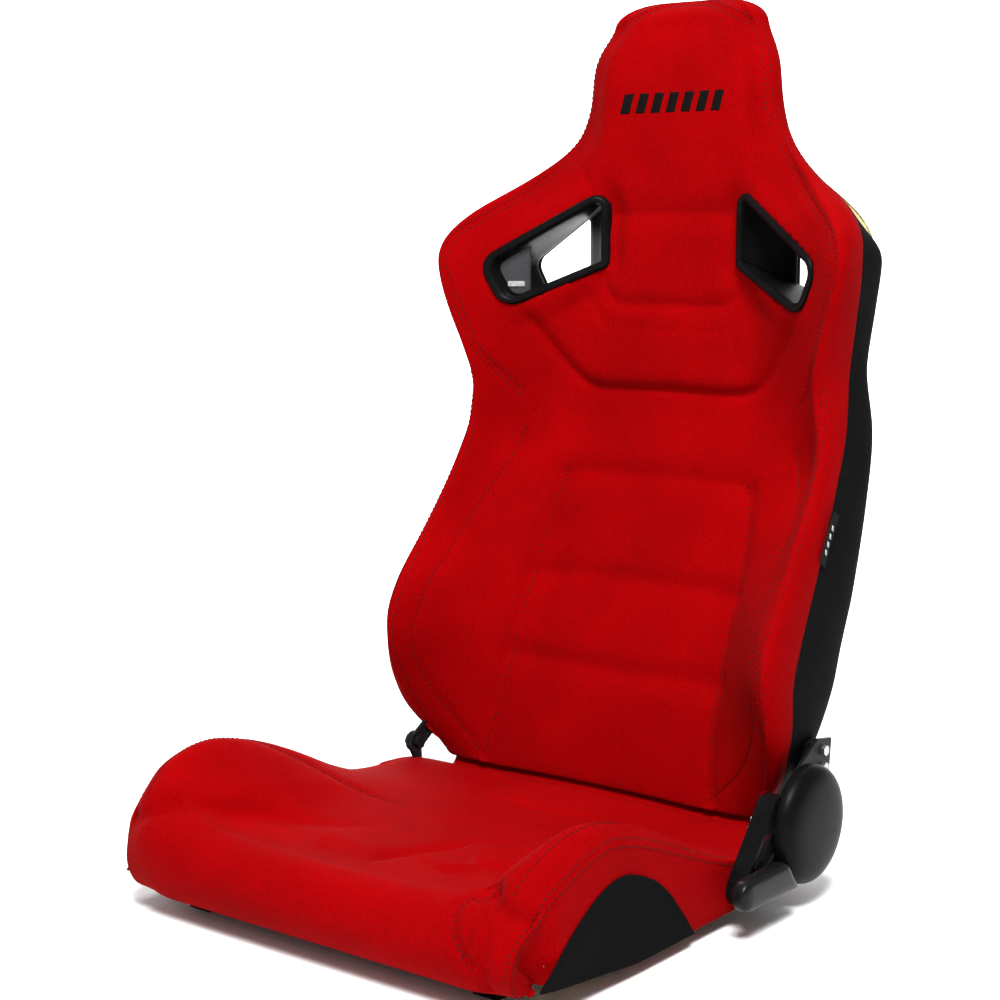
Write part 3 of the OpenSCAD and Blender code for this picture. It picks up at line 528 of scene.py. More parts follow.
LOW_Z, NECK_Z, CROWN_H, CROWN_MID = 68.0, 904.0, 29.0, 377.0
ROW_STEP = 7.0
FRONT_STEPS = [8, 7, 12, 7, 8]
REAR_STEPS = [8, 9, 8]


def eased(rows, at, width=9.0):
    """A shape table, averaged a little so that no height shows a kink."""
    return np.mean([smooth(rows, at + d) for d in (-width, -width / 2, 0, width / 2, width)], 0)


def back_controls(z):
    """Half outline at each height: middle front, insert, bolster, edge, side, rear, middle rear."""
    iy, ix = eased(INSERT_Y, z), eased(INSERT_X, z)
    ry, hy, rx = eased(REAR_Y, z), eased(HIND_Y, z), eased(REAR_X, z)
    columns = [(0 * z, iy), (ix * 0.55, iy - 1), (ix, iy - 3),
               (eased(BOLSTER_X, z), eased(BOLSTER_Y, z)), (eased(EDGE_X, z), eased(EDGE_Y, z)),
               (eased(SIDE_X, z), eased(SIDE_Y, z)), (rx, ry), (rx * 0.6, ry * 0.25 + hy * 0.75),
               (0 * z, hy)]
    return np.array([np.stack(c, -1) for c in columns])


def back_outline(z):
    """Closed outline at each height as (height, column, x-y)."""
    half = back_controls(z)
    mirror = half[-2:0:-1] * [-1, 1]
    steps = FRONT_STEPS + REAR_STEPS
    ring = through(np.concatenate([half, mirror]), steps + steps[::-1], closed=True)
    return np.swapaxes(ring, 0, 1)


def back_grid(from_column, to_column):
    """Grid of the backrest's surface between two columns, from the hem up over the crown."""
    z = np.linspace(LOW_Z, NECK_Z, round((NECK_Z - LOW_Z) / ROW_STEP) + 1)
    ring = back_outline(z)
    count = ring.shape[1]
    ids = [j % count for j in range(from_column, to_column + 1)]
    ring = ring[:, ids]
    level = z[:, None] + smooth(TILT, z)[:, None] * (ring[..., 1] - TILT_FROM)
    body = np.concatenate([ring, level[..., None]], -1)
    top = body[-1]
    crown = []
    for k in range(1, 9):
        a = k / 8 * math.pi / 2
        s = max(math.cos(a), 0.03)
        x = top[:, 0] * (0.35 + 0.65 * s)
        y = CROWN_MID + (top[:, 1] - CROWN_MID) * s
        crown.append(np.stack([x, y, NECK_Z + CROWN_H * math.sin(a) + 0 * x], -1))
    hem = []
    for inset, drop in ((14, 1.5), (6, -1.0)):
        row = body[0] + (np.array([0, 232.0, 0]) - body[0]) * [1, 1, 0] * inset / 160
        row[:, 2] = body[0][:, 2] - (0 if drop > 0 else -drop)
        hem.append(row)
    return np.concatenate([np.array(hem), body, np.array(crown)])


FRONT_HALF = sum(FRONT_STEPS)
RING_COUNT = 2 * (FRONT_HALF + sum(REAR_STEPS))

BEZEL_CORNERS = [[85, 636], [198, 584], [226, 642], [85, 729]]
BEZEL_RADII = [10, 22, 24, 15]
DUCT_CORNERS = [[129, 612], [198, 585], [227, 642], [129, 715]]


def bezel_plane(x):
    return 334 - 0.5 * (np.abs(x) - 85)


def duct_end(x):
    return 391.5 - (np.abs(x) - 60) * 32 / 190


def bezel_outline(rear=False):
    """Outline of a duct's front, or of its rear end: the ducts splay outwards."""
    return rounded_outline(DUCT_CORNERS if rear else BEZEL_CORNERS, BEZEL_RADII)


def in_outline(x, z, outline):
    """Signed distance in X and Z to an outline: negative inside."""
    p = np.stack([np.abs(x), z], -1)
    gap = np.full(len(p), 1e9)
    inside = np.zeros(len(p), bool)
    for a, b in zip(outline, np.roll(outline, -1, 0)):
        d = b - a
        t = np.clip(((p - a) @ d) / max(d @ d, 1e-9), 0, 1)
        gap = np.minimum(gap, np.linalg.norm(p - a - t[:, None] * d, axis=1))
        crosses = (a[1] > p[:, 1]) != (b[1] > p[:, 1])
        at = a[0] + (p[:, 1] - a[1]) / (b[1] - a[1] + 1e-12) * d[0]
        inside ^= crosses & (p[:, 0] < at)
    return np.where(inside, -gap, gap)


# Seams of the backrest in X and Z, on the sitter's left
OUTER_SEAM = [(0, 930), (34, 926), (66, 914), (88, 903), (103, 886), (113, 860), (118, 820), (124, 796),
              (141, 768), (176, 728), (205, 705), (232, 686), (249, 670), (258, 645), (253, 620),
              (246, 600), (237, 575), (229, 550), (222, 535), (212, 518), (199, 500), (184, 484)]
SIDE_SEAM = [(234, 516), (234, 480), (233, 430), (238, 390), (242, 340), (242, 298), (243, 262), (245, 236),
             (247, 207), (245, 178), (238, 140), (229, 105), (212, 74)]
BOLSTER_SEAM = [(181, 449), (195, 408), (206, 369), (213, 306), (222, 247), (226, 204), (219, 159),
                (192, 114), (156, 78)]
INSERT_SEAM = [(121, 403), (126, 388), (132, 350), (136, 300), (138, 250), (139, 200), (142, 150),
               (149, 100), (156, 74)]
SHOULDER_SEAM = [(133, 764), (118, 744), (103, 718)]
PAD_EDGE = [(184, 588), (168, 566), (148, 536), (131, 515), (112, 501), (84, 496), (0, 497)]
NECK_EDGE = [(96, 634), (90, 612), (80, 599), (64, 593), (0, 593)]
CREASE_1 = [(84, 695), (0, 696)]
CREASE_3 = [(124, 396), (96, 400), (0, 402)]
CREASE_4 = [(133, 282), (80, 287), (0, 287)]
CREASE_5 = [(137, 193), (80, 193), (0, 191)]


def tree_of(obj):
    graph = bpy.context.evaluated_depsgraph_get()
    return BVHTree.FromObject(obj, graph)


def on_surface(tree, points, direction):
    """Points dropped along a direction on to a surface; points that miss are left out."""
    hits = []
    aim = Vector(direction)
    for p in points:
        found = tree.ray_cast(Vector(p * MM), aim)[0]
        if found is not None:
            hits.append(np.array(found) / MM)
    return np.array(hits)


def front_line(tree, line, side, step=6.0):
    """A seam in X and Z, laid on the front of the backrest."""
    flat = curve(line, step)
    points = np.stack([flat[:, 0] * side, np.full(len(flat), 0.0), flat[:, 1]], -1)
    return on_surface(tree, points, (0, 1, 0))


def across_front(tree, line):
    """A seam that crosses the middle, laid from one side of the backrest to the other."""
    line = line if line[-1][0] == 0 else line[::-1]
    return np.concatenate([front_line(tree, line, 1), front_line(tree, line, -1)[::-1]])


def groove(points, normal, line, depth, width, fade=(0.0, 0.0)):
    """Presses a channel into a surface along a line, fading out at its ends."""
    gap, share = near(points, line)
    ends = np.ones_like(share)
    if fade[0]:
        ends *= np.clip(share / fade[0], 0, 1)
    if fade[1]:
        ends *= np.clip((1 - share) / fade[1], 0, 1)
    return points - normal * (depth * ends * np.exp(-(gap / width) ** 2))[:, None]


def channel(points, normal, line, depth, fade=(0.0, 0.0), breadth=13.0):
    """A sewn channel: the padding falls away to it over some distance, and the seam itself is sharp."""
    points = groove(points, normal, line, depth * 0.6, breadth, fade)
    return groove(points, normal, line, depth * 0.4, 3.4, fade)


def roll(points, normal, line, height, width, axis, fade=0.0):
    """A soft step along a line: the surface swells just on one side of it, as a pad's edge does."""
    gap, share = near(points, line)
    nearest = np.stack([np.interp(share, np.linspace(0, 1, len(line)), line[:, k]) for k in range(3)], -1)
    side = (points - nearest) @ np.array(axis, float)
    ends = np.clip(np.minimum(share, 1 - share) / fade, 0, 1) if fade else 1.0
    swell = np.where(side > 0, (side / width) * np.exp(1 - side / width), 0)
    return points + normal * (height * swell * np.where(gap < 4 * width, 1, 0) * ends)[:, None]


def puff(obj, held, pressure, cap, frames=20, stiffness=18.0):
    """Lets a sewn cover swell over its foam: cloth under pressure, held where it is sewn."""
    before = coords(obj)
    group = obj.vertex_groups.new(name="sewn")
    for weight in (1.0, 0.6, 0.25):
        ids = np.nonzero((held <= weight + 0.001) & (held > weight - 0.4))[0]
        group.add([int(i) for i in ids], weight, "REPLACE")
    cloth = modify(obj, "CLOTH")
    s = cloth.settings
    s.vertex_group_mass = "sewn"
    s.use_pressure = True
    s.uniform_pressure_force = pressure
    s.quality = 4
    s.mass = 0.35
    s.tension_stiffness = s.compression_stiffness = stiffness
    s.shear_stiffness = 8.0
    s.bending_stiffness = 0.6
    s.tension_damping = s.compression_damping = 12.0
    s.effector_weights.gravity = 0
    cloth.collision_settings.use_collision = False
    cloth.collision_settings.use_self_collision = False
    scene = bpy.context.scene
    cloth.point_cache.frame_start, cloth.point_cache.frame_end = 1, frames
    for f in range(1, frames + 1):
        scene.frame_set(f)
    graph = bpy.context.evaluated_depsgraph_get()
    after = np.zeros(len(before) * 3)
    obj.evaluated_get(graph).data.vertices.foreach_get("co", after)
    moved = after.reshape(-1, 3) / MM - before
    size = np.linalg.norm(moved, axis=1)
    moved *= (np.minimum(size, cap) / np.maximum(size, 1e-9))[:, None]
    obj.modifiers.clear()
    obj.vertex_groups.clear()
    scene.frame_set(1)
    place(obj, before + moved)


def held_along(points, lines, reach=7.0):
    """How firmly each point is held: 1 on a seam, fading to 0 a little way off."""
    held = np.zeros(len(points))
    for line in lines:
        gap, _ = near(points, line)
        held = np.maximum(held, np.where(gap < reach * 0.6, 1.0, np.where(gap < reach, 0.6, 0.0)))
    return held


def cut_harness_holes(obj, inset, rear=False):
    """Takes out the faces inside the two harness openings."""
    bm = bmesh.new()
    bm.from_mesh(obj.data)
    faces = list(bm.faces)
    middle = np.array([f.calc_center_median() for f in faces]) / MM
    gap = in_outline(middle[:, 0], middle[:, 2], bezel_outline(rear))
    bmesh.ops.delete(bm, geom=[f for f, g in zip(faces, gap) if g < -inset], context="FACES")
    loose = [v for v in bm.verts if not v.link_faces]
    bmesh.ops.delete(bm, geom=loose, context="VERTS")
    bm.to_mesh(obj.data)
    bm.free()


def stitches(name, rows, material, length=4.2, gap=2.2, radius=0.62):
    """Raised stitches laid along rows, each a line on a surface with the surface's normals."""
    points, faces = [], []
    profile = [(-0.5, 0.12), (-0.36, 0.75), (-0.12, 1.0), (0.12, 1.0), (0.36, 0.75), (0.5, 0.12)]
    sides = 6
    for line, normal in rows:
        gaps = np.linalg.norm(np.diff(line, axis=0), axis=1)
        along = np.concatenate([[0], np.cumsum(gaps)])
        at = length
        while at < along[-1] - length:
            here = np.array([np.interp(at, along, line[:, k]) for k in range(3)])
            ahead = np.array([np.interp(at + 1, along, line[:, k]) for k in range(3)])
            up = np.array([np.interp(at, along, normal[:, k]) for k in range(3)])
            t = (ahead - here) / max(np.linalg.norm(ahead - here), 1e-9)
            up /= max(np.linalg.norm(up), 1e-9)
            side = np.cross(t, up)
            base = len(points)
            for share, swell in profile:
                for k in range(sides):
                    a = 2 * math.pi * k / sides
                    lift = radius * 0.35 * swell + radius * swell * math.sin(a)
                    points.append(here + t * share * length + side * radius * swell * math.cos(a) + up * lift)
            rings = len(profile)
            faces += [tuple(base + i for i in f) for f in grid_faces(rings, sides, around=True)]
            faces.append(tuple(base + k for k in range(sides)))
            faces.append(tuple(base + (rings - 1) * sides + k for k in reversed(range(sides))))
            at += length + gap
    return outward(make_piece(name, points, faces, material))


def stitch_rows(tree, line, offsets, facing):
    """Copies of a surface line moved sideways on the surface, with the surface normals."""
    rows = []
    tangent = np.gradient(line, axis=0)
    tangent /= np.linalg.norm(tangent, axis=1)[:, None]
    for offset in offsets:
        row, up = [], []
        for p, t in zip(line, tangent):
            found = tree.find_nearest(Vector(p * MM))
            n = np.array(found[1])
            n = n if n @ facing >= -0.2 else -n
            side = np.cross(t, n)
            moved = p + side * offset
            hit, normal, _, _ = tree.find_nearest(Vector(moved * MM))
            normal = np.array(normal)
            row.append(np.array(hit) / MM)
            up.append(normal if normal @ n > 0 else -normal)
        rows.append((np.array(row), np.array(up)))
    return rows


def subdivided(obj, levels=1):
    modify(obj, "SUBSURF", levels=levels, render_levels=levels)
    return settle(obj)


def thickened(obj, thickness, inward=True):
    modify(obj, "SOLIDIFY", thickness=thickness * MM, offset=-1.0 if inward else 0.0, use_rim=True)
    return settle(obj)


# ---------------------------------------------------------------- backrest covers


def seat_to_bezel(points, toward_rear=False):
    """Brings the cloth round each harness opening to the plane of its moulding."""
    gap = in_outline(points[:, 0], points[:, 2], bezel_outline(toward_rear))
    share = np.clip(1 - gap / 26, 0, 1)
    share = share * share * (3 - 2 * share)
    target = duct_end(points[:, 0]) + 3 if toward_rear else bezel_plane(points[:, 0]) + 3.5
    out = points.copy()
    out[:, 1] += (target - points[:, 1]) * share
    return out


def build_front_cover():
    grid = back_grid(-FRONT_HALF, FRONT_HALF)
    cover = sheet_piece("backrest_cover_red", grid, RED)
    points = seat_to_bezel(coords(cover))
    place(cover, points)
    tree = tree_of(cover)
    both = lambda line: [front_line(tree, line, s) for s in (1, -1)]
    strong = both(OUTER_SEAM) + both(SIDE_SEAM) + both(INSERT_SEAM) + both(BOLSTER_SEAM)
    soft = []
    for line in (PAD_EDGE, NECK_EDGE, CREASE_1, CREASE_3, CREASE_4, CREASE_5):
        soft += both(line)
    held = held_along(points, strong + soft)
    held[sewn_border(grid)] = 1.0
    gap = in_outline(points[:, 0], points[:, 2], bezel_outline())
    held[gap < 6] = 1.0
    puff(cover, held, 3.2, 6.0)
    cut_harness_holes(cover, 3.0)
    subdivided(cover)

    tree = tree_of(cover)
    points, normal = coords(cover), normals(cover)
    if normal[:, 1].mean() > 0:
        normal = -normal
    pad, neck = across_front(tree, PAD_EDGE), across_front(tree, NECK_EDGE)
    points = roll(points, normal, pad, 5.0, 16, (0, 0, 1), 0.06)
    points = channel(points, normal, pad, 5.2, (0.06, 0.06), 9.0)
    points = channel(points, normal, neck, 5.0, (0.05, 0.05), 10.0)
    for crease, depth in ((CREASE_1, 6.0), (CREASE_3, 7.0), (CREASE_4, 8.0), (CREASE_5, 8.0)):
        points = channel(points, normal, across_front(tree, crease), depth, breadth=15.0)
    for side in (1, -1):
        lay = lambda line: front_line(tree, line, side)
        outer, flank, bolster, insert = (lay(l) for l in (OUTER_SEAM, SIDE_SEAM, BOLSTER_SEAM, INSERT_SEAM))
        points = channel(points, normal, insert, 7.0, (0.05, 0.0), 11.0)
        points = groove(points, normal, bolster, 1.4, 3.0, (0.04, 0.0))
        points = channel(points, normal, outer, 2.6, (0.0, 0.06), 8.0)
        points = channel(points, normal, flank, 2.6, (0.05, 0.0), 8.0)
        points = groove(points, normal, lay(SHOULDER_SEAM), 1.8, 3.6, (0.3, 0.0))
    place(cover, points)

    tree = tree_of(cover)
    sewn_rows = []
    rows = ((OUTER_SEAM, (-4, 4)), (SIDE_SEAM, (-4, 4)), (BOLSTER_SEAM, (2,)), (INSERT_SEAM, (1.5,)))
    for side in (1, -1):
        for line, offsets in rows:
            laid = front_line(tree, line, side, 2.0)
            sewn_rows += stitch_rows(tree, laid, offsets, np.array([0, -1.0, 0]))
    sewn = stitches("backrest_stitching", sewn_rows, RED_THREAD)
    thickened(cover, 2.6)
    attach(cover, "backrest")
    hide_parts("backrest_cover")
    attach(sewn, "backrest")
    return cover


def build_rear_cover():
    grid = back_grid(FRONT_HALF, RING_COUNT - FRONT_HALF)
    grid[:, 0] += (grid[:, 1] - grid[:, 0]) * 0.12
    grid[:, -1] += (grid[:, -2] - grid[:, -1]) * 0.12
    cover = sheet_piece("backrest_cover_black", grid, BLACK_CLOTH)
    place(cover, seat_to_bezel(coords(cover), True))
    points = coords(cover)
    tree = tree_of(cover)

    def rear_line(line, side):
        flat = curve(line, 6.0)
        spots = np.stack([flat[:, 0] * side, np.full(len(flat), 600.0), flat[:, 1]], -1)
        return on_surface(tree, spots, (0, -1, 0))

    panel = [(150, 130), (156, 260), (152, 400), (140, 520), (100, 556), (0, 566)]
    seams = [rear_line(panel, s) for s in (1, -1)]
    held = held_along(points, seams)
    held[sewn_border(grid)] = 1.0
    held[in_outline(points[:, 0], points[:, 2], bezel_outline(True)) < 6] = 1.0
    puff(cover, held, 2.0, 4.0)
    cut_harness_holes(cover, 3.0, True)
    subdivided(cover)
    tree = tree_of(cover)
    points, normal = coords(cover), normals(cover)
    for side in (1, -1):
        points = groove(points, normal, rear_line(panel, side), 1.8, 3.6)
    place(cover, points)
    tree = tree_of(cover)
    sewn_rows = []
    for side in (1, -1):
        seam = resampled(rear_line(panel, side), 2.0)
        sewn_rows += stitch_rows(tree, seam, (-4,), np.array([0, 1.0, 0]))
    sewn = stitches("rear_stitching", sewn_rows, RED_THREAD)
    thickened(cover, 2.4)
    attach(cover, "backrest")
    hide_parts("back_panel")
    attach(sewn, "backrest")
    return cover


def build_back_foam():
    """Moulded foam block under the front cover, with its channels."""
    z = np.linspace(78, 896, 92)
    ring = back_outline(z)[:, [j % RING_COUNT for j in range(-FRONT_HALF, FRONT_HALF + 1)]]
    level = z[:, None] + smooth(TILT, z)[:, None] * (ring[..., 1] - TILT_FROM)
    inner = ring.copy()
    tangent = np.gradient(ring, axis=1)
    tangent /= np.linalg.norm(tangent, axis=2)[..., None]
    inner += np.stack([-tangent[..., 1], tangent[..., 0]], -1) * 13.0
    gap = in_outline(ring[..., 0].ravel(), level.ravel(), bezel_outline()).reshape(level.shape)
    share = np.clip(1 - gap / 32, 0, 1)
    inner[..., 1] += np.maximum(bezel_plane(ring[..., 0]) + 16 - inner[..., 1], 0) * np.minimum(share * 2, 1)
    front = np.concatenate([inner, level[..., None]], -1)
    depth = np.minimum(np.maximum(ring[:, :1, 1] + 8, smooth([[68, 214], [200, 254], [300, 298], [400, 334],
                       [460, 350], [700, 356], [904, 362]], z)[:, None]), eased(REAR_Y, z)[:, None] - 12)
    back = front[:, ::-4].copy()
    back[..., 0] *= 0.96
    back[..., 1] = depth
    back[..., 2] = z[:, None] + smooth(TILT, z)[:, None] * (depth - TILT_FROM)
    grid = np.concatenate([front, back], 1)
    foam = lofted("backrest_foam_block", grid, FOAM)
    hole = ((0.5, 0, -150), (0.5, 0, 0), (0.5, 1, 0), (0.5, 1, 60))
    rings = np.array([duct_ring(*row) for row in hole])
    cutters = []
    for side in (1, -1):
        cutter = lofted(f"cutter_{side}", rings * [side, 1, 1], FOAM)
        modify(foam, "BOOLEAN", operation="DIFFERENCE", object=cutter, solver="EXACT")
        cutters.append(cutter)
    settle(foam)
    for cutter in cutters:
        bpy.data.objects.remove(cutter)
    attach(foam, "backrest")
    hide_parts("backrest_foam")


# ---------------------------------------------------------------- harness openings


def build_bezels():
    rim = [(-0.4, 0, 9), (-0.4, 0, 3.5), (0.1, 0, 1.2), (1.5, 0, -0.6), (3.6, 0, -1.6), (6.0, 0, -1.3),
           (8.2, 0, 0.2), (9.6, 0, 2.6), (10.1, 0, 6), (10.3, 0, 12), (10.7, 0.5, 4), (10.9, 1, -8),
           (11.0, 1, 0), (7.6, 1, 0), (7.6, 0.5, 4), (7.4, 0, 12), (6.8, 0, 9)]
    lip = [(-0.3, 1, 0.6), (-0.3, 1, 7), (1.2, 1, 9.6), (4.0, 1, 10.8), (7.0, 1, 10.2), (8.8, 1, 8),
           (9.4, 1, 4), (9.4, 1, 0.6)]
    for name, side in SIDES.items():
        mirror = np.array([side, 1, 1])
        for piece_name, profile, node in ((f"bezel_{name}", rim, f"harness_bezel_{name}"),
                                          (f"rear_ring_{name}", lip, f"harness_ring_{name}")):
            piece = swept(piece_name, profile, PLASTIC)
            place(piece, coords(piece) * mirror)
            outward(piece)
            subdivided(piece)
            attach(piece, "backrest")
            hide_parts(node)


def soften(node, width, material, segments=3):
    """A kept CAD piece with its own material and a small round on its edges."""
    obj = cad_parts[node]
    modify(obj, "BEVEL", width=width * MM, segments=segments, limit_method="ANGLE",
           angle_limit=math.radians(35), use_clamp_overlap=True)
    dress(node, material)


def dress(node, material):
    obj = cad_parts[node]
    if not obj.material_slots:
        obj.data.materials.append(material)
    for s in obj.material_slots:
        s.link = "OBJECT"
        s.material = material


# ---------------------------------------------------------------- emblem and tag


def build_emblem(cover):
    """Seven slanted embroidered bars across the headrest."""
    tree = tree_of(cover)
    across, up = 9, 17
    low, high, half, lean = 808.0, 830.0, 6.0, 6.0
    points, faces = [], []
    for i in range(7):
        middle = (i - 3) * 20.0 - 3
        base = len(points)
        front, back = [], []
        for r in range(up):
            v = r / (up - 1)
            for c in range(across):
                u = c / (across - 1) * 2 - 1
                x, z = middle + u * half + lean * v, low + (high - low) * v
                hit = on_surface(tree, [np.array([x, 0.0, z])], (0, 1, 0))[0]
                rim = min(1 - abs(u), 2 * min(v, 1 - v) * 2.2, 0.28) / 0.28
                front.append(hit - [0, 0.25 + 0.75 * math.sqrt(max(rim, 0)), 0])
                back.append(hit + [0, 0.8, 0])
        points += front + back
        grid = grid_faces(up, across)
        count = up * across
        faces += [tuple(base + k for k in f) for f in grid]
        faces += [tuple(base + count + k for k in f[::-1]) for f in grid]
        ring = ([c for c in range(across)] + [r * across + across - 1 for r in range(1, up)]
                + [(up - 1) * across + c for c in range(across - 2, -1, -1)]
                + [r * across for r in range(up - 2, 0, -1)])
        for a, b in zip(ring, ring[1:] + ring[:1]):
            faces.append((base + b, base + a, base + count + a, base + count + b))
    emblem = outward(make_piece("headrest_bars", points, faces, EMBROIDERY))
    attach(emblem, "backrest")
    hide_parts("headrest_emblem")


def build_side_tag():
    """Folded woven tag caught in the side seam, standing a little off the cover."""
    low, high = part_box("side_tag")
    centre = (np.array(low) + np.array(high)) / 2 / MM
    lean = math.radians(29)
    along = np.array([0, math.sin(lean), math.cos(lean)])
    across = np.array([0, -math.cos(lean), math.sin(lean)])
    rows, cols = 25, 13
    loop = []
    for c in range(cols):
        a = math.pi * c / (cols - 1) - math.pi / 2
        loop.append((math.cos(a), math.sin(a)))
    section = [(-6.0, -0.75)] + [(4.8 + 0.75 * ca, 0.75 * sa) for ca, sa in loop] + [(-6.0, 0.75)]
    grid = []
    for r in range(rows):
        v = r / (rows - 1) * 2 - 1
        curl = 0.8 * v * v
        middle = centre + along * 29 * v
        grid.append([middle + across * u + np.array([1.6 + curl + w, 0, 0]) for u, w in section])
    weave = twill("tag_weave", (0.004, 0.004, 0.004), (0.02, 0.02, 0.02), 0.0008, False)
    tag = lofted("side_tag_folded", np.array(grid), weave)
    bars, bar_faces = [], []
    face_x = 1.6 + 0.75
    for i in range(4):
        start, end = -17 + i * 9.0, -12 + i * 9.0
        base = len(bars)
        for lift in (0.0, 0.28):
            for v, u in ((start, -2.6), (end, -0.6), (end, 3.0), (start, 1.0)):
                curl = 0.8 * (v / 29) ** 2
                bars.append(centre + along * v + across * u + np.array([face_x + curl + lift, 0, 0]))
        bar_faces += [tuple(base + k for k in f) for f in
                      ((0, 1, 2, 3), (7, 6, 5, 4), (0, 4, 5, 1), (1, 5, 6, 2), (2, 6, 7, 3), (3, 7, 4, 0))]
    mark = outward(make_piece("side_tag_bars", bars, bar_faces,
                              thread("pale_thread", (0.3, 0.3, 0.3), (0.6, 0.6, 0.6))))
    for piece in (tag, mark):
        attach(piece, "backrest")
    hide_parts("side_tag")


# ---------------------------------------------------------------- cushion

# Profiles from the rear to the front edge and down to the hem: [x, y, z] for each column.
# The last seven places run down the nose; the ones before share their distance forward.
CUSHION_Y = [179, 160, 140, 100, 60, 16, -32, -92, -143, -175, -200, -222, -238]
MIDDLE_Z = [[-238, 88], [-222, 79], [-206, 74], [-190, 72], [-100, 67], [100, 66], [160, 66], [179, 61]]
CREST_Z = [[-238, 131], [-218, 144], [-175, 154], [-143, 152], [-92, 138], [-32, 112], [16, 88], [60, 71],
           [100, 64.5], [160, 65.5], [179, 60]]
EDGE_TOP_Z = [[-238, 106], [-217, 119], [-186, 130], [-155, 136], [-122, 133], [-88, 121], [-60, 110],
              [0, 87], [40, 72], [90, 62], [179, 58]]
FOOT_Z = [[-280, 36], [-258, 30], [-225, 25], [-165, 19], [-100, 13], [60, 14], [86, 15]]
EDGE_X_Y = [[-238, 259], [-217, 262], [84, 262], [92, 259], [158, 256], [179, 248]]
NOSE_MIDDLE = [(0, -249, 92), (0, -267, 87), (0, -280, 74), (0, -285, 54), (0, -280, 34), (0, -267, 20),
               (0, -250, 15), (0, -232, 17)]
NOSE_SLOPE = [(194, -245, 108), (194, -264, 99), (194, -279, 83), (194, -284.5, 60), (194, -280, 37),
              (194, -268, 21), (194, -252, 15), (194, -234, 17)]
NOSE_CREST = [(232, -252, 118), (226, -266, 100), (221, -277, 83), (219, -281, 62), (218, -277, 40),
              (217, -266, 24), (216, -251, 17), (214, -234, 18)]
NOSE_EDGE = [(257, -254, 90), (252, -263, 78), (248, -269, 66), (245, -273, 52), (242, -272, 38),
             (240, -264, 25), (237, -250, 19), (232, -234, 20)]
TOP_STEPS = [8, 8, 7, 6, 5]


def cushion_controls():
    """Rows from the rear to the hem; columns from the middle out to the outer seam."""
    y = np.array(CUSHION_Y, float)
    middle, crest = smooth(MIDDLE_Z, y), smooth(CREST_Z, y)
    edge_z, edge_x = smooth(EDGE_TOP_Z, y), smooth(EDGE_X_Y, y)
    crest_x = edge_x - 24
    columns = [np.stack([0 * y, y, middle], -1), np.stack([0 * y + 75, y, middle + 1], -1),
               np.stack([0 * y + 150, y, middle + (crest - middle) * 0.14], -1),
               np.stack([crest_x - 44, y, crest * 0.55 + middle * 0.45], -1),
               np.stack([crest_x, y, crest], -1), np.stack([edge_x, y, edge_z], -1)]
    nose_middle = np.array(NOSE_MIDDLE, float)
    nose_75 = nose_middle + [75, 0, 0]
    nose_150 = nose_middle * 0.8 + np.array(NOSE_SLOPE) * 0.2
    nose_150[:, 0] = 150
    noses = [nose_middle, nose_75, nose_150, np.array(NOSE_SLOPE), np.array(NOSE_CREST), np.array(NOSE_EDGE)]
    return np.array([np.concatenate([a, b]) for a, b in zip(columns, noses)])


def cushion_grid(per_row=5):
    columns = cushion_controls()
    rows = through(np.swapaxes(columns, 0, 1), [3, 3] + [per_row] * (columns.shape[1] - 3))
    half = through(np.swapaxes(rows, 0, 1), TOP_STEPS)
    mirror = half[:0:-1] * [-1, 1, 1]
    return np.swapaxes(np.concatenate([mirror, half]), 0, 1)


FOLD_START = [(260, -252, 91), (250, -261, 93), (238, -267, 97), (220, -263, 103), (204, -251, 110)]
THIGH_FOLD = [(238, -272), (222, -262), (205, -252), (179, -216), (156, -152), (118, -108), (72, -66)]
CROSS_FOLD = [(-8, -176), (-6, -130), (10, -96), (25, -66), (48, -50), (70, -30)]
TOP_SEAM = [(104, -8), (150, -2), (188, -16), (210, -34), (226, -62), (238, -100), (243, -146), (243, -195),
            (239, -232), (233, -258)]
REAR_SEAM = [(104, 150), (92, 116), (76, 88), (62, 84), (0, 85)]
DART_OUT = [(205, -251, 112), (190, -258, 104), (183, -266, 95), (184, -276, 84), (190, -284, 72),
            (201, -286, 57), (213, -283, 42)]
DART_FOLD = [(199, -262, 100), (204, -275, 84), (208, -282, 68), (212, -283, 52)]
DART_IN = [(207, -252, 112), (218, -272, 89), (221, -280, 68), (218, -279, 44), (216, -266, 24)]
FRONT_SEAM = [(42, -268, 88), (48, -281, 70), (53, -286, 52), (58, -280, 33), (60, -268, 21)]


def top_line(tree, line, side, step=6.0):
    flat = curve(line, step)
    points = np.stack([flat[:, 0] * side, flat[:, 1], np.full(len(flat), 400.0)], -1)
    return on_surface(tree, points, (0, 0, -1))


def nose_line(tree, line, side, step=4.0):
    """A seam over the nose, moved to the nearest place on the surface."""
    path = curve(line, step) * [side, 1, 1]
    return np.array([np.array(tree.find_nearest(Vector(p * MM))[0]) / MM for p in path])


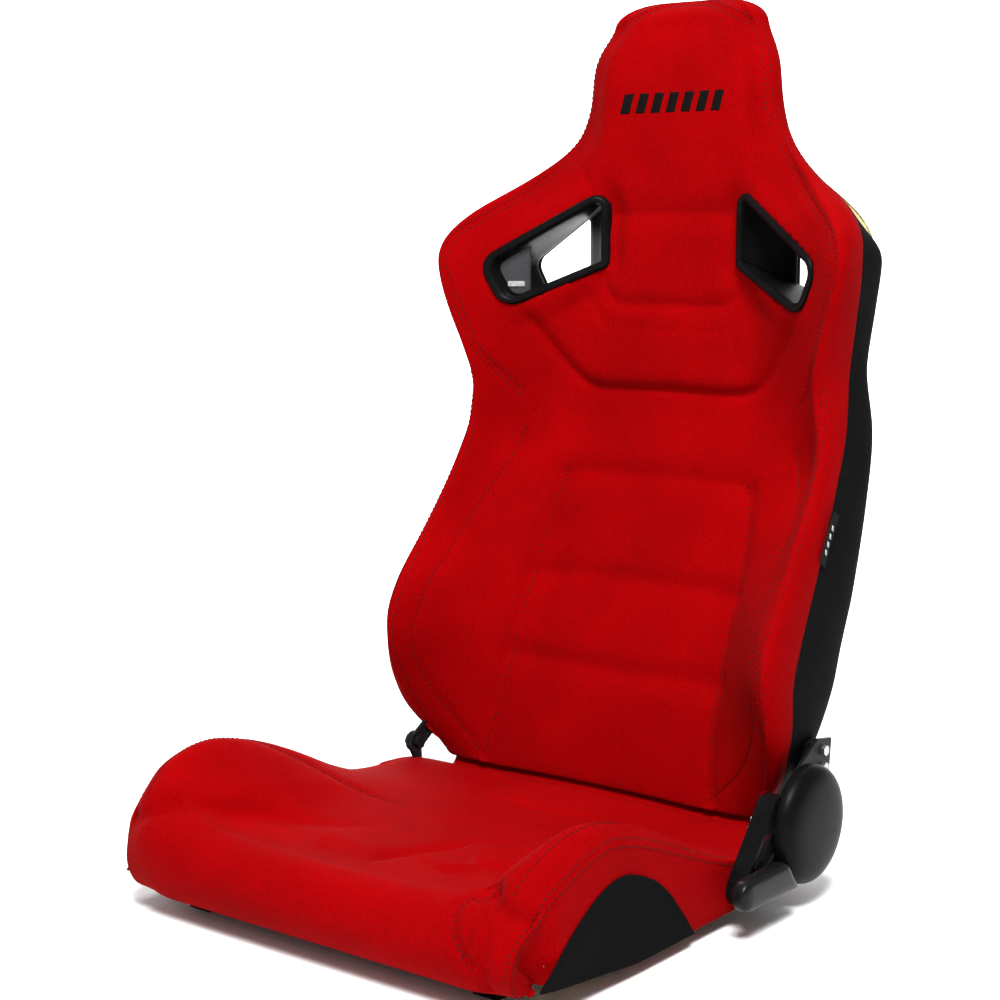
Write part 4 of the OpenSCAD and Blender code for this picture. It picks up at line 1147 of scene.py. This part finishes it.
def build_cushion_cover():
    grid = cushion_grid()
    cover = sheet_piece("cushion_cover_red", grid, RED)
    points = coords(cover)
    if normals(cover)[:, 2].mean() < 0:
        cover.data.flip_normals()
    tree = tree_of(cover)
    lines = [nose_line(tree, DART_OUT, 1), nose_line(tree, DART_IN, 1), top_line(tree, CROSS_FOLD, 1)]
    for side in (1, -1):
        lines += [top_line(tree, seam, side) for seam in (THIGH_FOLD, TOP_SEAM, REAR_SEAM)]
    held = held_along(points, lines)
    held[sewn_border(grid, 2)] = 1.0
    puff(cover, held, 3.6, 6.0)
    subdivided(cover)

    tree = tree_of(cover)
    points, normal = coords(cover), normals(cover)
    fold = top_line(tree, CROSS_FOLD, 1)
    points = roll(points, normal, fold, 8.0, 20, (-0.35, -0.9, 0), 0.15)
    points = channel(points, normal, fold, 7.0, (0.3, 0.25), 11.0)
    points = groove(points, normal, nose_line(tree, FRONT_SEAM, 1), 0.8, 2.6, (0.1, 0.1))
    points = channel(points, normal, nose_line(tree, DART_OUT, 1), 5.0, (0.0, 0.05), 7.0)
    points = channel(points, normal, nose_line(tree, DART_IN, 1), 6.0, (0.0, 0.0), 6.0)
    points = groove(points, normal, nose_line(tree, DART_FOLD, 1), 2.4, 3.0, (0.25, 0.25))
    for side in (1, -1):
        points = channel(points, normal, nose_line(tree, FOLD_START, side), 8.0, (0.0, 0.35), 9.0)
        points = groove(points, normal, top_line(tree, THIGH_FOLD, side), 7.0, 13.0, (0.12, 0.5))
        points = channel(points, normal, top_line(tree, REAR_SEAM, side), 4.0, breadth=10.0)
        points = channel(points, normal, top_line(tree, TOP_SEAM, side), 2.8, (0.15, 0.0), 9.0)
    place(cover, points)

    tree = tree_of(cover)
    up_axis = np.array([0, -0.3, 1.0])
    paths = [(nose_line(tree, DART_OUT, 1, 2.0), (2.0,))]
    for side in (1, -1):
        paths += [(top_line(tree, TOP_SEAM, side, 2.0), (1.8,)), (edge_line(side, 4.5), (0.0,))]
    sewn_rows = []
    for path, offsets in paths:
        sewn_rows += stitch_rows(tree, path, offsets, up_axis)
    sewn = stitches("cushion_stitching", sewn_rows, RED_THREAD)
    thickened(cover, 2.6)
    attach(cover, "base")
    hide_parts("cushion_cover")
    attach(sewn, "base")


def cushion_edge():
    """Line where the cushion's top is sewn to its sides, from the rear round to the front hem."""
    columns = cushion_controls()
    return through(columns[5], [3, 3] + [5] * (columns.shape[1] - 3))


def edge_line(side, inset):
    """A line beside the sewn edge: on the top for a positive inset, on the side wall for a negative one."""
    line = resampled(cushion_edge(), 2.0)
    line = line[line[:, 1] < 60]
    nose = np.clip((-240 - line[:, 1]) / 26, 0, 1)[:, None]
    toward = np.array([-1.0, 0, 0.35]) * (1 - nose) + np.array([-1.0, -0.2, 0]) * nose
    down = np.array([0.1, 0, -1.0]) * (1 - nose) + np.array([0.3, 0.9, -0.2]) * nose
    return (line + (toward if inset > 0 else down) * abs(inset)) * [side, 1, 1]


def build_cushion_sides():
    """Side wall panels, sewn to the top along the double seam."""
    edge = cushion_edge()
    sewn_rows = []
    for name, side in SIDES.items():
        rows = []
        for x, y, z in edge:
            nose = np.clip((-236 - y) / 30, 0, 1) if z > 60 else np.clip(1.2 - (z - 20) / 100, 0.9, 1)
            level = 50.0 if y > 86 else float(smooth(FOOT_Z, max(y, -232)))
            foot = np.array([262 * (1 - nose) + 238 * nose, max(y, -226 - 8 * nose), min(level, z - 0.5)])
            top = np.array([x, y, z])
            column = []
            for t in np.linspace(0, 1, 13):
                p = top + (foot - top) * [min(1, 2.5 * t), t, t]
                column.append(p + [1.5 * math.sin(math.pi * t), 0, 0])
            column += [column[-1] + [-7, 0, -0.4], column[-1] + [-12, 2, 0.8]]
            rows.append(column)
        grid = np.array(rows) * [side, 1, 1]
        panel = sheet_piece(f"cushion_side_{name}", grid, RED, flip=side > 0)
        subdivided(panel)
        sewn_rows += stitch_rows(tree_of(panel), edge_line(side, -4.5), (0.0,), np.array([side, 0, 0.0]))
        thickened(panel, 2.4)
        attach(panel, "base")
    sewn = stitches("cushion_side_stitching", sewn_rows, RED_THREAD)
    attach(sewn, "base")


def build_gusset():
    """Cloth strip that closes the gap between cushion and backrest, running from one to the other."""
    rows = []
    for x in np.linspace(-200, 200, 61):
        out = float(np.clip((abs(x) - 146) / 12, 0, 1))
        front_y, front_z = 174 - 20 * out, 61.5 - 3.0 * out
        back_y = float(eased(INSERT_Y, np.array([72.0]))[0]) + 5
        path = [(front_y, front_z), (front_y + 5, front_z - 5), (back_y - 11, 55.5), (back_y - 4, 57),
                (back_y + 1, 63), (back_y + 2, 71), (back_y + 3, 80)]
        rows.append([(x, y, z) for y, z in through(np.array(path, float), [3] * 6)])
    strip = sheet_piece("closing_gusset", np.array(rows), RED)
    thickened(strip, 1.6)
    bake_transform(strip)


def build_cushion_panels():
    """Black arched inserts on the side walls."""
    arch = [(-256, 32), (-238, 46), (-206, 73), (-166, 96), (-128, 102), (-86, 87), (-60, 68),
            (-44, 51), (-28, 32), (-14, 14.5)]
    top = through(np.array(arch, float), [6] * (len(arch) - 1))
    for name, side in SIDES.items():
        grid = []
        for y, z in top:
            foot = float(smooth(FOOT_Z, y)) + 0.6
            column = []
            for k in range(9):
                t = k / 8
                swell = 1.7 * math.sin(math.pi * min(1, t * 1.2 + 0.05)) * min(1, (z - foot) / 20)
                column.append((263.1 + max(swell, 0), y, z + (min(foot, z - 0.4) - z) * t))
            grid.append(column)
        grid = np.array(grid) * [side, 1, 1]
        panel = sheet_piece(f"cushion_insert_{name}", grid, BLACK_CLOTH, flip=side > 0)
        subdivided(panel)
        thickened(panel, 1.6)
        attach(panel, "base")
        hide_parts(f"cushion_panel_{name}")


def build_cushion_foam():
    y = np.linspace(150, -236, 60)
    rows = []
    for v in y:
        middle, crest = float(smooth(MIDDLE_Z, v)), float(smooth(CREST_Z, v))
        edge_z, edge_x = float(smooth(EDGE_TOP_Z, v)) - 5, float(smooth(EDGE_X_Y, v)) - 7
        sink = 9 + 10 * max(0.0, (-190 - v) / 46)
        top = [(0, middle - sink), (75, middle - sink), (150, middle + (crest - middle) * 0.14 - sink - 3),
               (edge_x - 64, crest * 0.55 + middle * 0.45 - sink - 4), (edge_x - 24, crest - sink - 3),
               (edge_x - 2, edge_z - sink)]
        half = through(np.array(top, float), [4] * 5)
        half = np.concatenate([half, [[edge_x, 46], [edge_x - 6, 43]]])
        full = np.concatenate([half[:0:-1] * [-1, 1], half])
        full[:, 1] = np.maximum(full[:, 1], 43)
        rows.append(np.stack([full[:, 0], np.full(len(full), v), full[:, 1]], -1))
    foam = lofted("cushion_foam_block", np.array(rows), FOAM)
    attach(foam, "base")
    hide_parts("cushion_foam")


# ---------------------------------------------------------------- recliner plastics


def build_hinge_cap():
    """Domed round cap with a rolled rim."""
    profile = [(0.0, 306.0), (14, 305.8), (28, 305.2), (40, 304.0), (48, 302.3), (54, 299.8),
               (57.8, 296.6), (60.2, 292.6), (61.0, 288.6), (61.0, 285.0), (60.2, 284.6), (58.0, 284.6),
               (57.6, 287.5), (55, 293.5), (46, 298.6), (28, 302.0), (0.0, 302.8)]
    steps = 96
    points = []
    for r, x in profile[1:-1]:
        for k in range(steps):
            a = 2 * math.pi * k / steps
            points.append((x, AXIS_Y + r * math.cos(a), AXIS_Z + r * math.sin(a)))
    count = len(profile) - 2
    faces = grid_faces(count, steps, around=True)
    front, back = len(points), len(points) + 1
    points += [(profile[0][1], AXIS_Y, AXIS_Z), (profile[-1][1], AXIS_Y, AXIS_Z)]
    last = (count - 1) * steps
    for k in range(steps):
        faces.append((front, (k + 1) % steps, k))
        faces.append((back, last + k, last + (k + 1) % steps))
    cap = outward(make_piece("hinge_cap_shell", points, faces, PLASTIC))
    subdivided(cap)
    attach(cap, "base")
    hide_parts("hinge_cap")


def build_grip():
    """Lever grip: a flat oval bar with a round nose, hollowed at the rear to clear the cap."""
    z0, half_h, x_in, x_out, nose = 47.0, 16.2, 285.2, 305.0, 12.0
    rows = []
    for v in np.concatenate([np.linspace(0, 1, 15) ** 2 * 16.5, np.linspace(20, 74, 10)]):
        swell = math.sqrt(max(1 - (1 - min(v / 16.5, 1)) ** 2, 0.0025))
        angles = np.arange(32) * 2 * math.pi / 32
        ca, sa = np.cos(angles), np.sin(angles)
        px = np.sign(ca) * np.abs(ca) ** 0.62 * (x_out - x_in) / 2 * (0.35 + 0.65 * swell)
        pz = np.sign(sa) * np.abs(sa) ** 0.62 * half_h * swell
        rows.append(np.stack([(x_in + x_out) / 2 + px, nose + v + 0 * px, z0 + pz], -1))
    grid = np.array(rows)
    limit = AXIS_Y - np.sqrt(np.maximum(63.4**2 - (grid[..., 2] - AXIS_Z) ** 2, 0))
    start = nose + 20
    share = np.clip((grid[..., 1] - start) / 54, 0, 1)
    grid[..., 1] = np.where(share > 0, start + share * (limit - start), grid[..., 1])
    grip = lofted("grip_moulding", grid, GRIP)
    subdivided(grip)
    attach(grip, "release")
    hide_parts("lever_grip")


# ---------------------------------------------------------------- kept CAD pieces


def dress_frame():
    soften("recliner_cover", 1.4, PLASTIC)
    soften("lever", 0.5, STEEL, 2)
    for name in SIDES:
        soften(f"side_rail_{name}", 1.2, STEEL)
    for node in ("recliner_bracket", "recliner_plate", "recliner_arm", "pivot_bracket", "pivot_arm"):
        soften(node, 0.5, STEEL, 2)
    for node in ("front_cross_tube", "rear_cross_tube", "back_hoop", "lower_cross_tube",
                 "upper_cross_tube", "headrest_stay"):
        dress(node, STEEL)
    for node in ("weld_nuts", "bracket_bolts", "seat_springs", "spring_clips", "support_wires",
                 "arm_bolts", "tooth_ring", "pawl_upper", "pawl_lower", "release_shaft", "lever_spring"):
        dress(node, ZINC)
    dress("pivot_bush", GRIP)
    dress("pivot_bolt", STEEL)
    soften("badge_plate", 0.8, GREY_PLASTIC)
    soften("badge", 0.5, BADGE)


# ---------------------------------------------------------------- stage, light and camera


def build_stage():
    """Pale floor that curves up into a backdrop."""
    n = Nodes("pale_floor")
    tone = n.noise(object_space(n), 3.0, 4.0, 0.6)
    colour = n.ramp(tone, [(0.3, (0.90, 0.90, 0.90)), (0.7, (0.93, 0.93, 0.93))])
    n.finish(colour, 0.9, Specular_IOR_Level=0.0)
    turn = math.radians(38.21)
    back = [(-6000, -1)] + [(2200 + 3200 * math.sin(a), 3200 * (1 - math.cos(a)) - 1)
                            for a in np.linspace(0, math.pi / 2, 40)]
    points = []
    for along, up in back:
        for across in (-9000, 9000):
            points.append((across * math.cos(turn) - along * math.sin(turn),
                           across * math.sin(turn) + along * math.cos(turn), up))
    make_piece("floor", points, grid_faces(len(back), 2), n.material)


def area_light(name, location, target, size, power, colour=(1, 1, 1)):
    data = bpy.data.lights.new(name, "AREA")
    data.shape = "RECTANGLE"
    data.size, data.size_y = size
    data.energy = power
    data.color = colour
    obj = bpy.data.objects.new(name, data)
    obj.location = location
    obj.rotation_mode = "QUATERNION"
    obj.rotation_quaternion = (Vector(target) - Vector(location)).to_track_quat("-Z", "Y")
    bpy.context.scene.collection.objects.link(obj)


def build_light():
    """A large soft box high on the sitter's left, a weak fill, and a light on the backdrop only."""
    world = bpy.data.worlds.new("studio")
    world.use_nodes = True
    world.node_tree.nodes["Background"].inputs["Color"].default_value = (1, 1, 1, 1)
    world.node_tree.nodes["Background"].inputs["Strength"].default_value = 0.30
    bpy.context.scene.world = world
    middle = (0, 0.05, 0.45)
    area_light("key", (1.3, -1.5, 3.2), middle, (1.2, 1.2), 255)
    area_light("fill", (-2.4, -1.6, 1.4), middle, (1.8, 1.8), 12)
    area_light("backdrop", (-1.2, 1.6, 3.4), (-2.6, 3.6, 1.2), (3.0, 1.5), 420)


def build_camera():
    """Camera at the photograph's viewpoint."""
    azimuth, pitch = math.radians(38.21), math.radians(7.90)
    data = bpy.data.cameras.new("camera")
    data.sensor_width = 36.0
    data.lens = 36.0 * 1.962
    data.clip_end = 50
    camera = bpy.data.objects.new("camera", data)
    camera.location = (1.229, -1.538, 0.680)
    level = math.cos(pitch)
    aim = Vector((-math.sin(azimuth) * level, math.cos(azimuth) * level, -math.sin(pitch)))
    camera.rotation_mode = "QUATERNION"
    camera.rotation_quaternion = aim.to_track_quat("-Z", "Y")
    bpy.context.scene.collection.objects.link(camera)
    bpy.context.scene.camera = camera
    bpy.context.scene.view_settings.view_transform = "Standard"


build_camera()
build_stage()
build_light()
front = build_front_cover()
build_rear_cover()
build_back_foam()
build_bezels()
build_emblem(front)
build_side_tag()
build_cushion_cover()
build_cushion_sides()
build_cushion_panels()
build_cushion_foam()
build_gusset()
build_hinge_cap()
build_grip()
dress_frame()
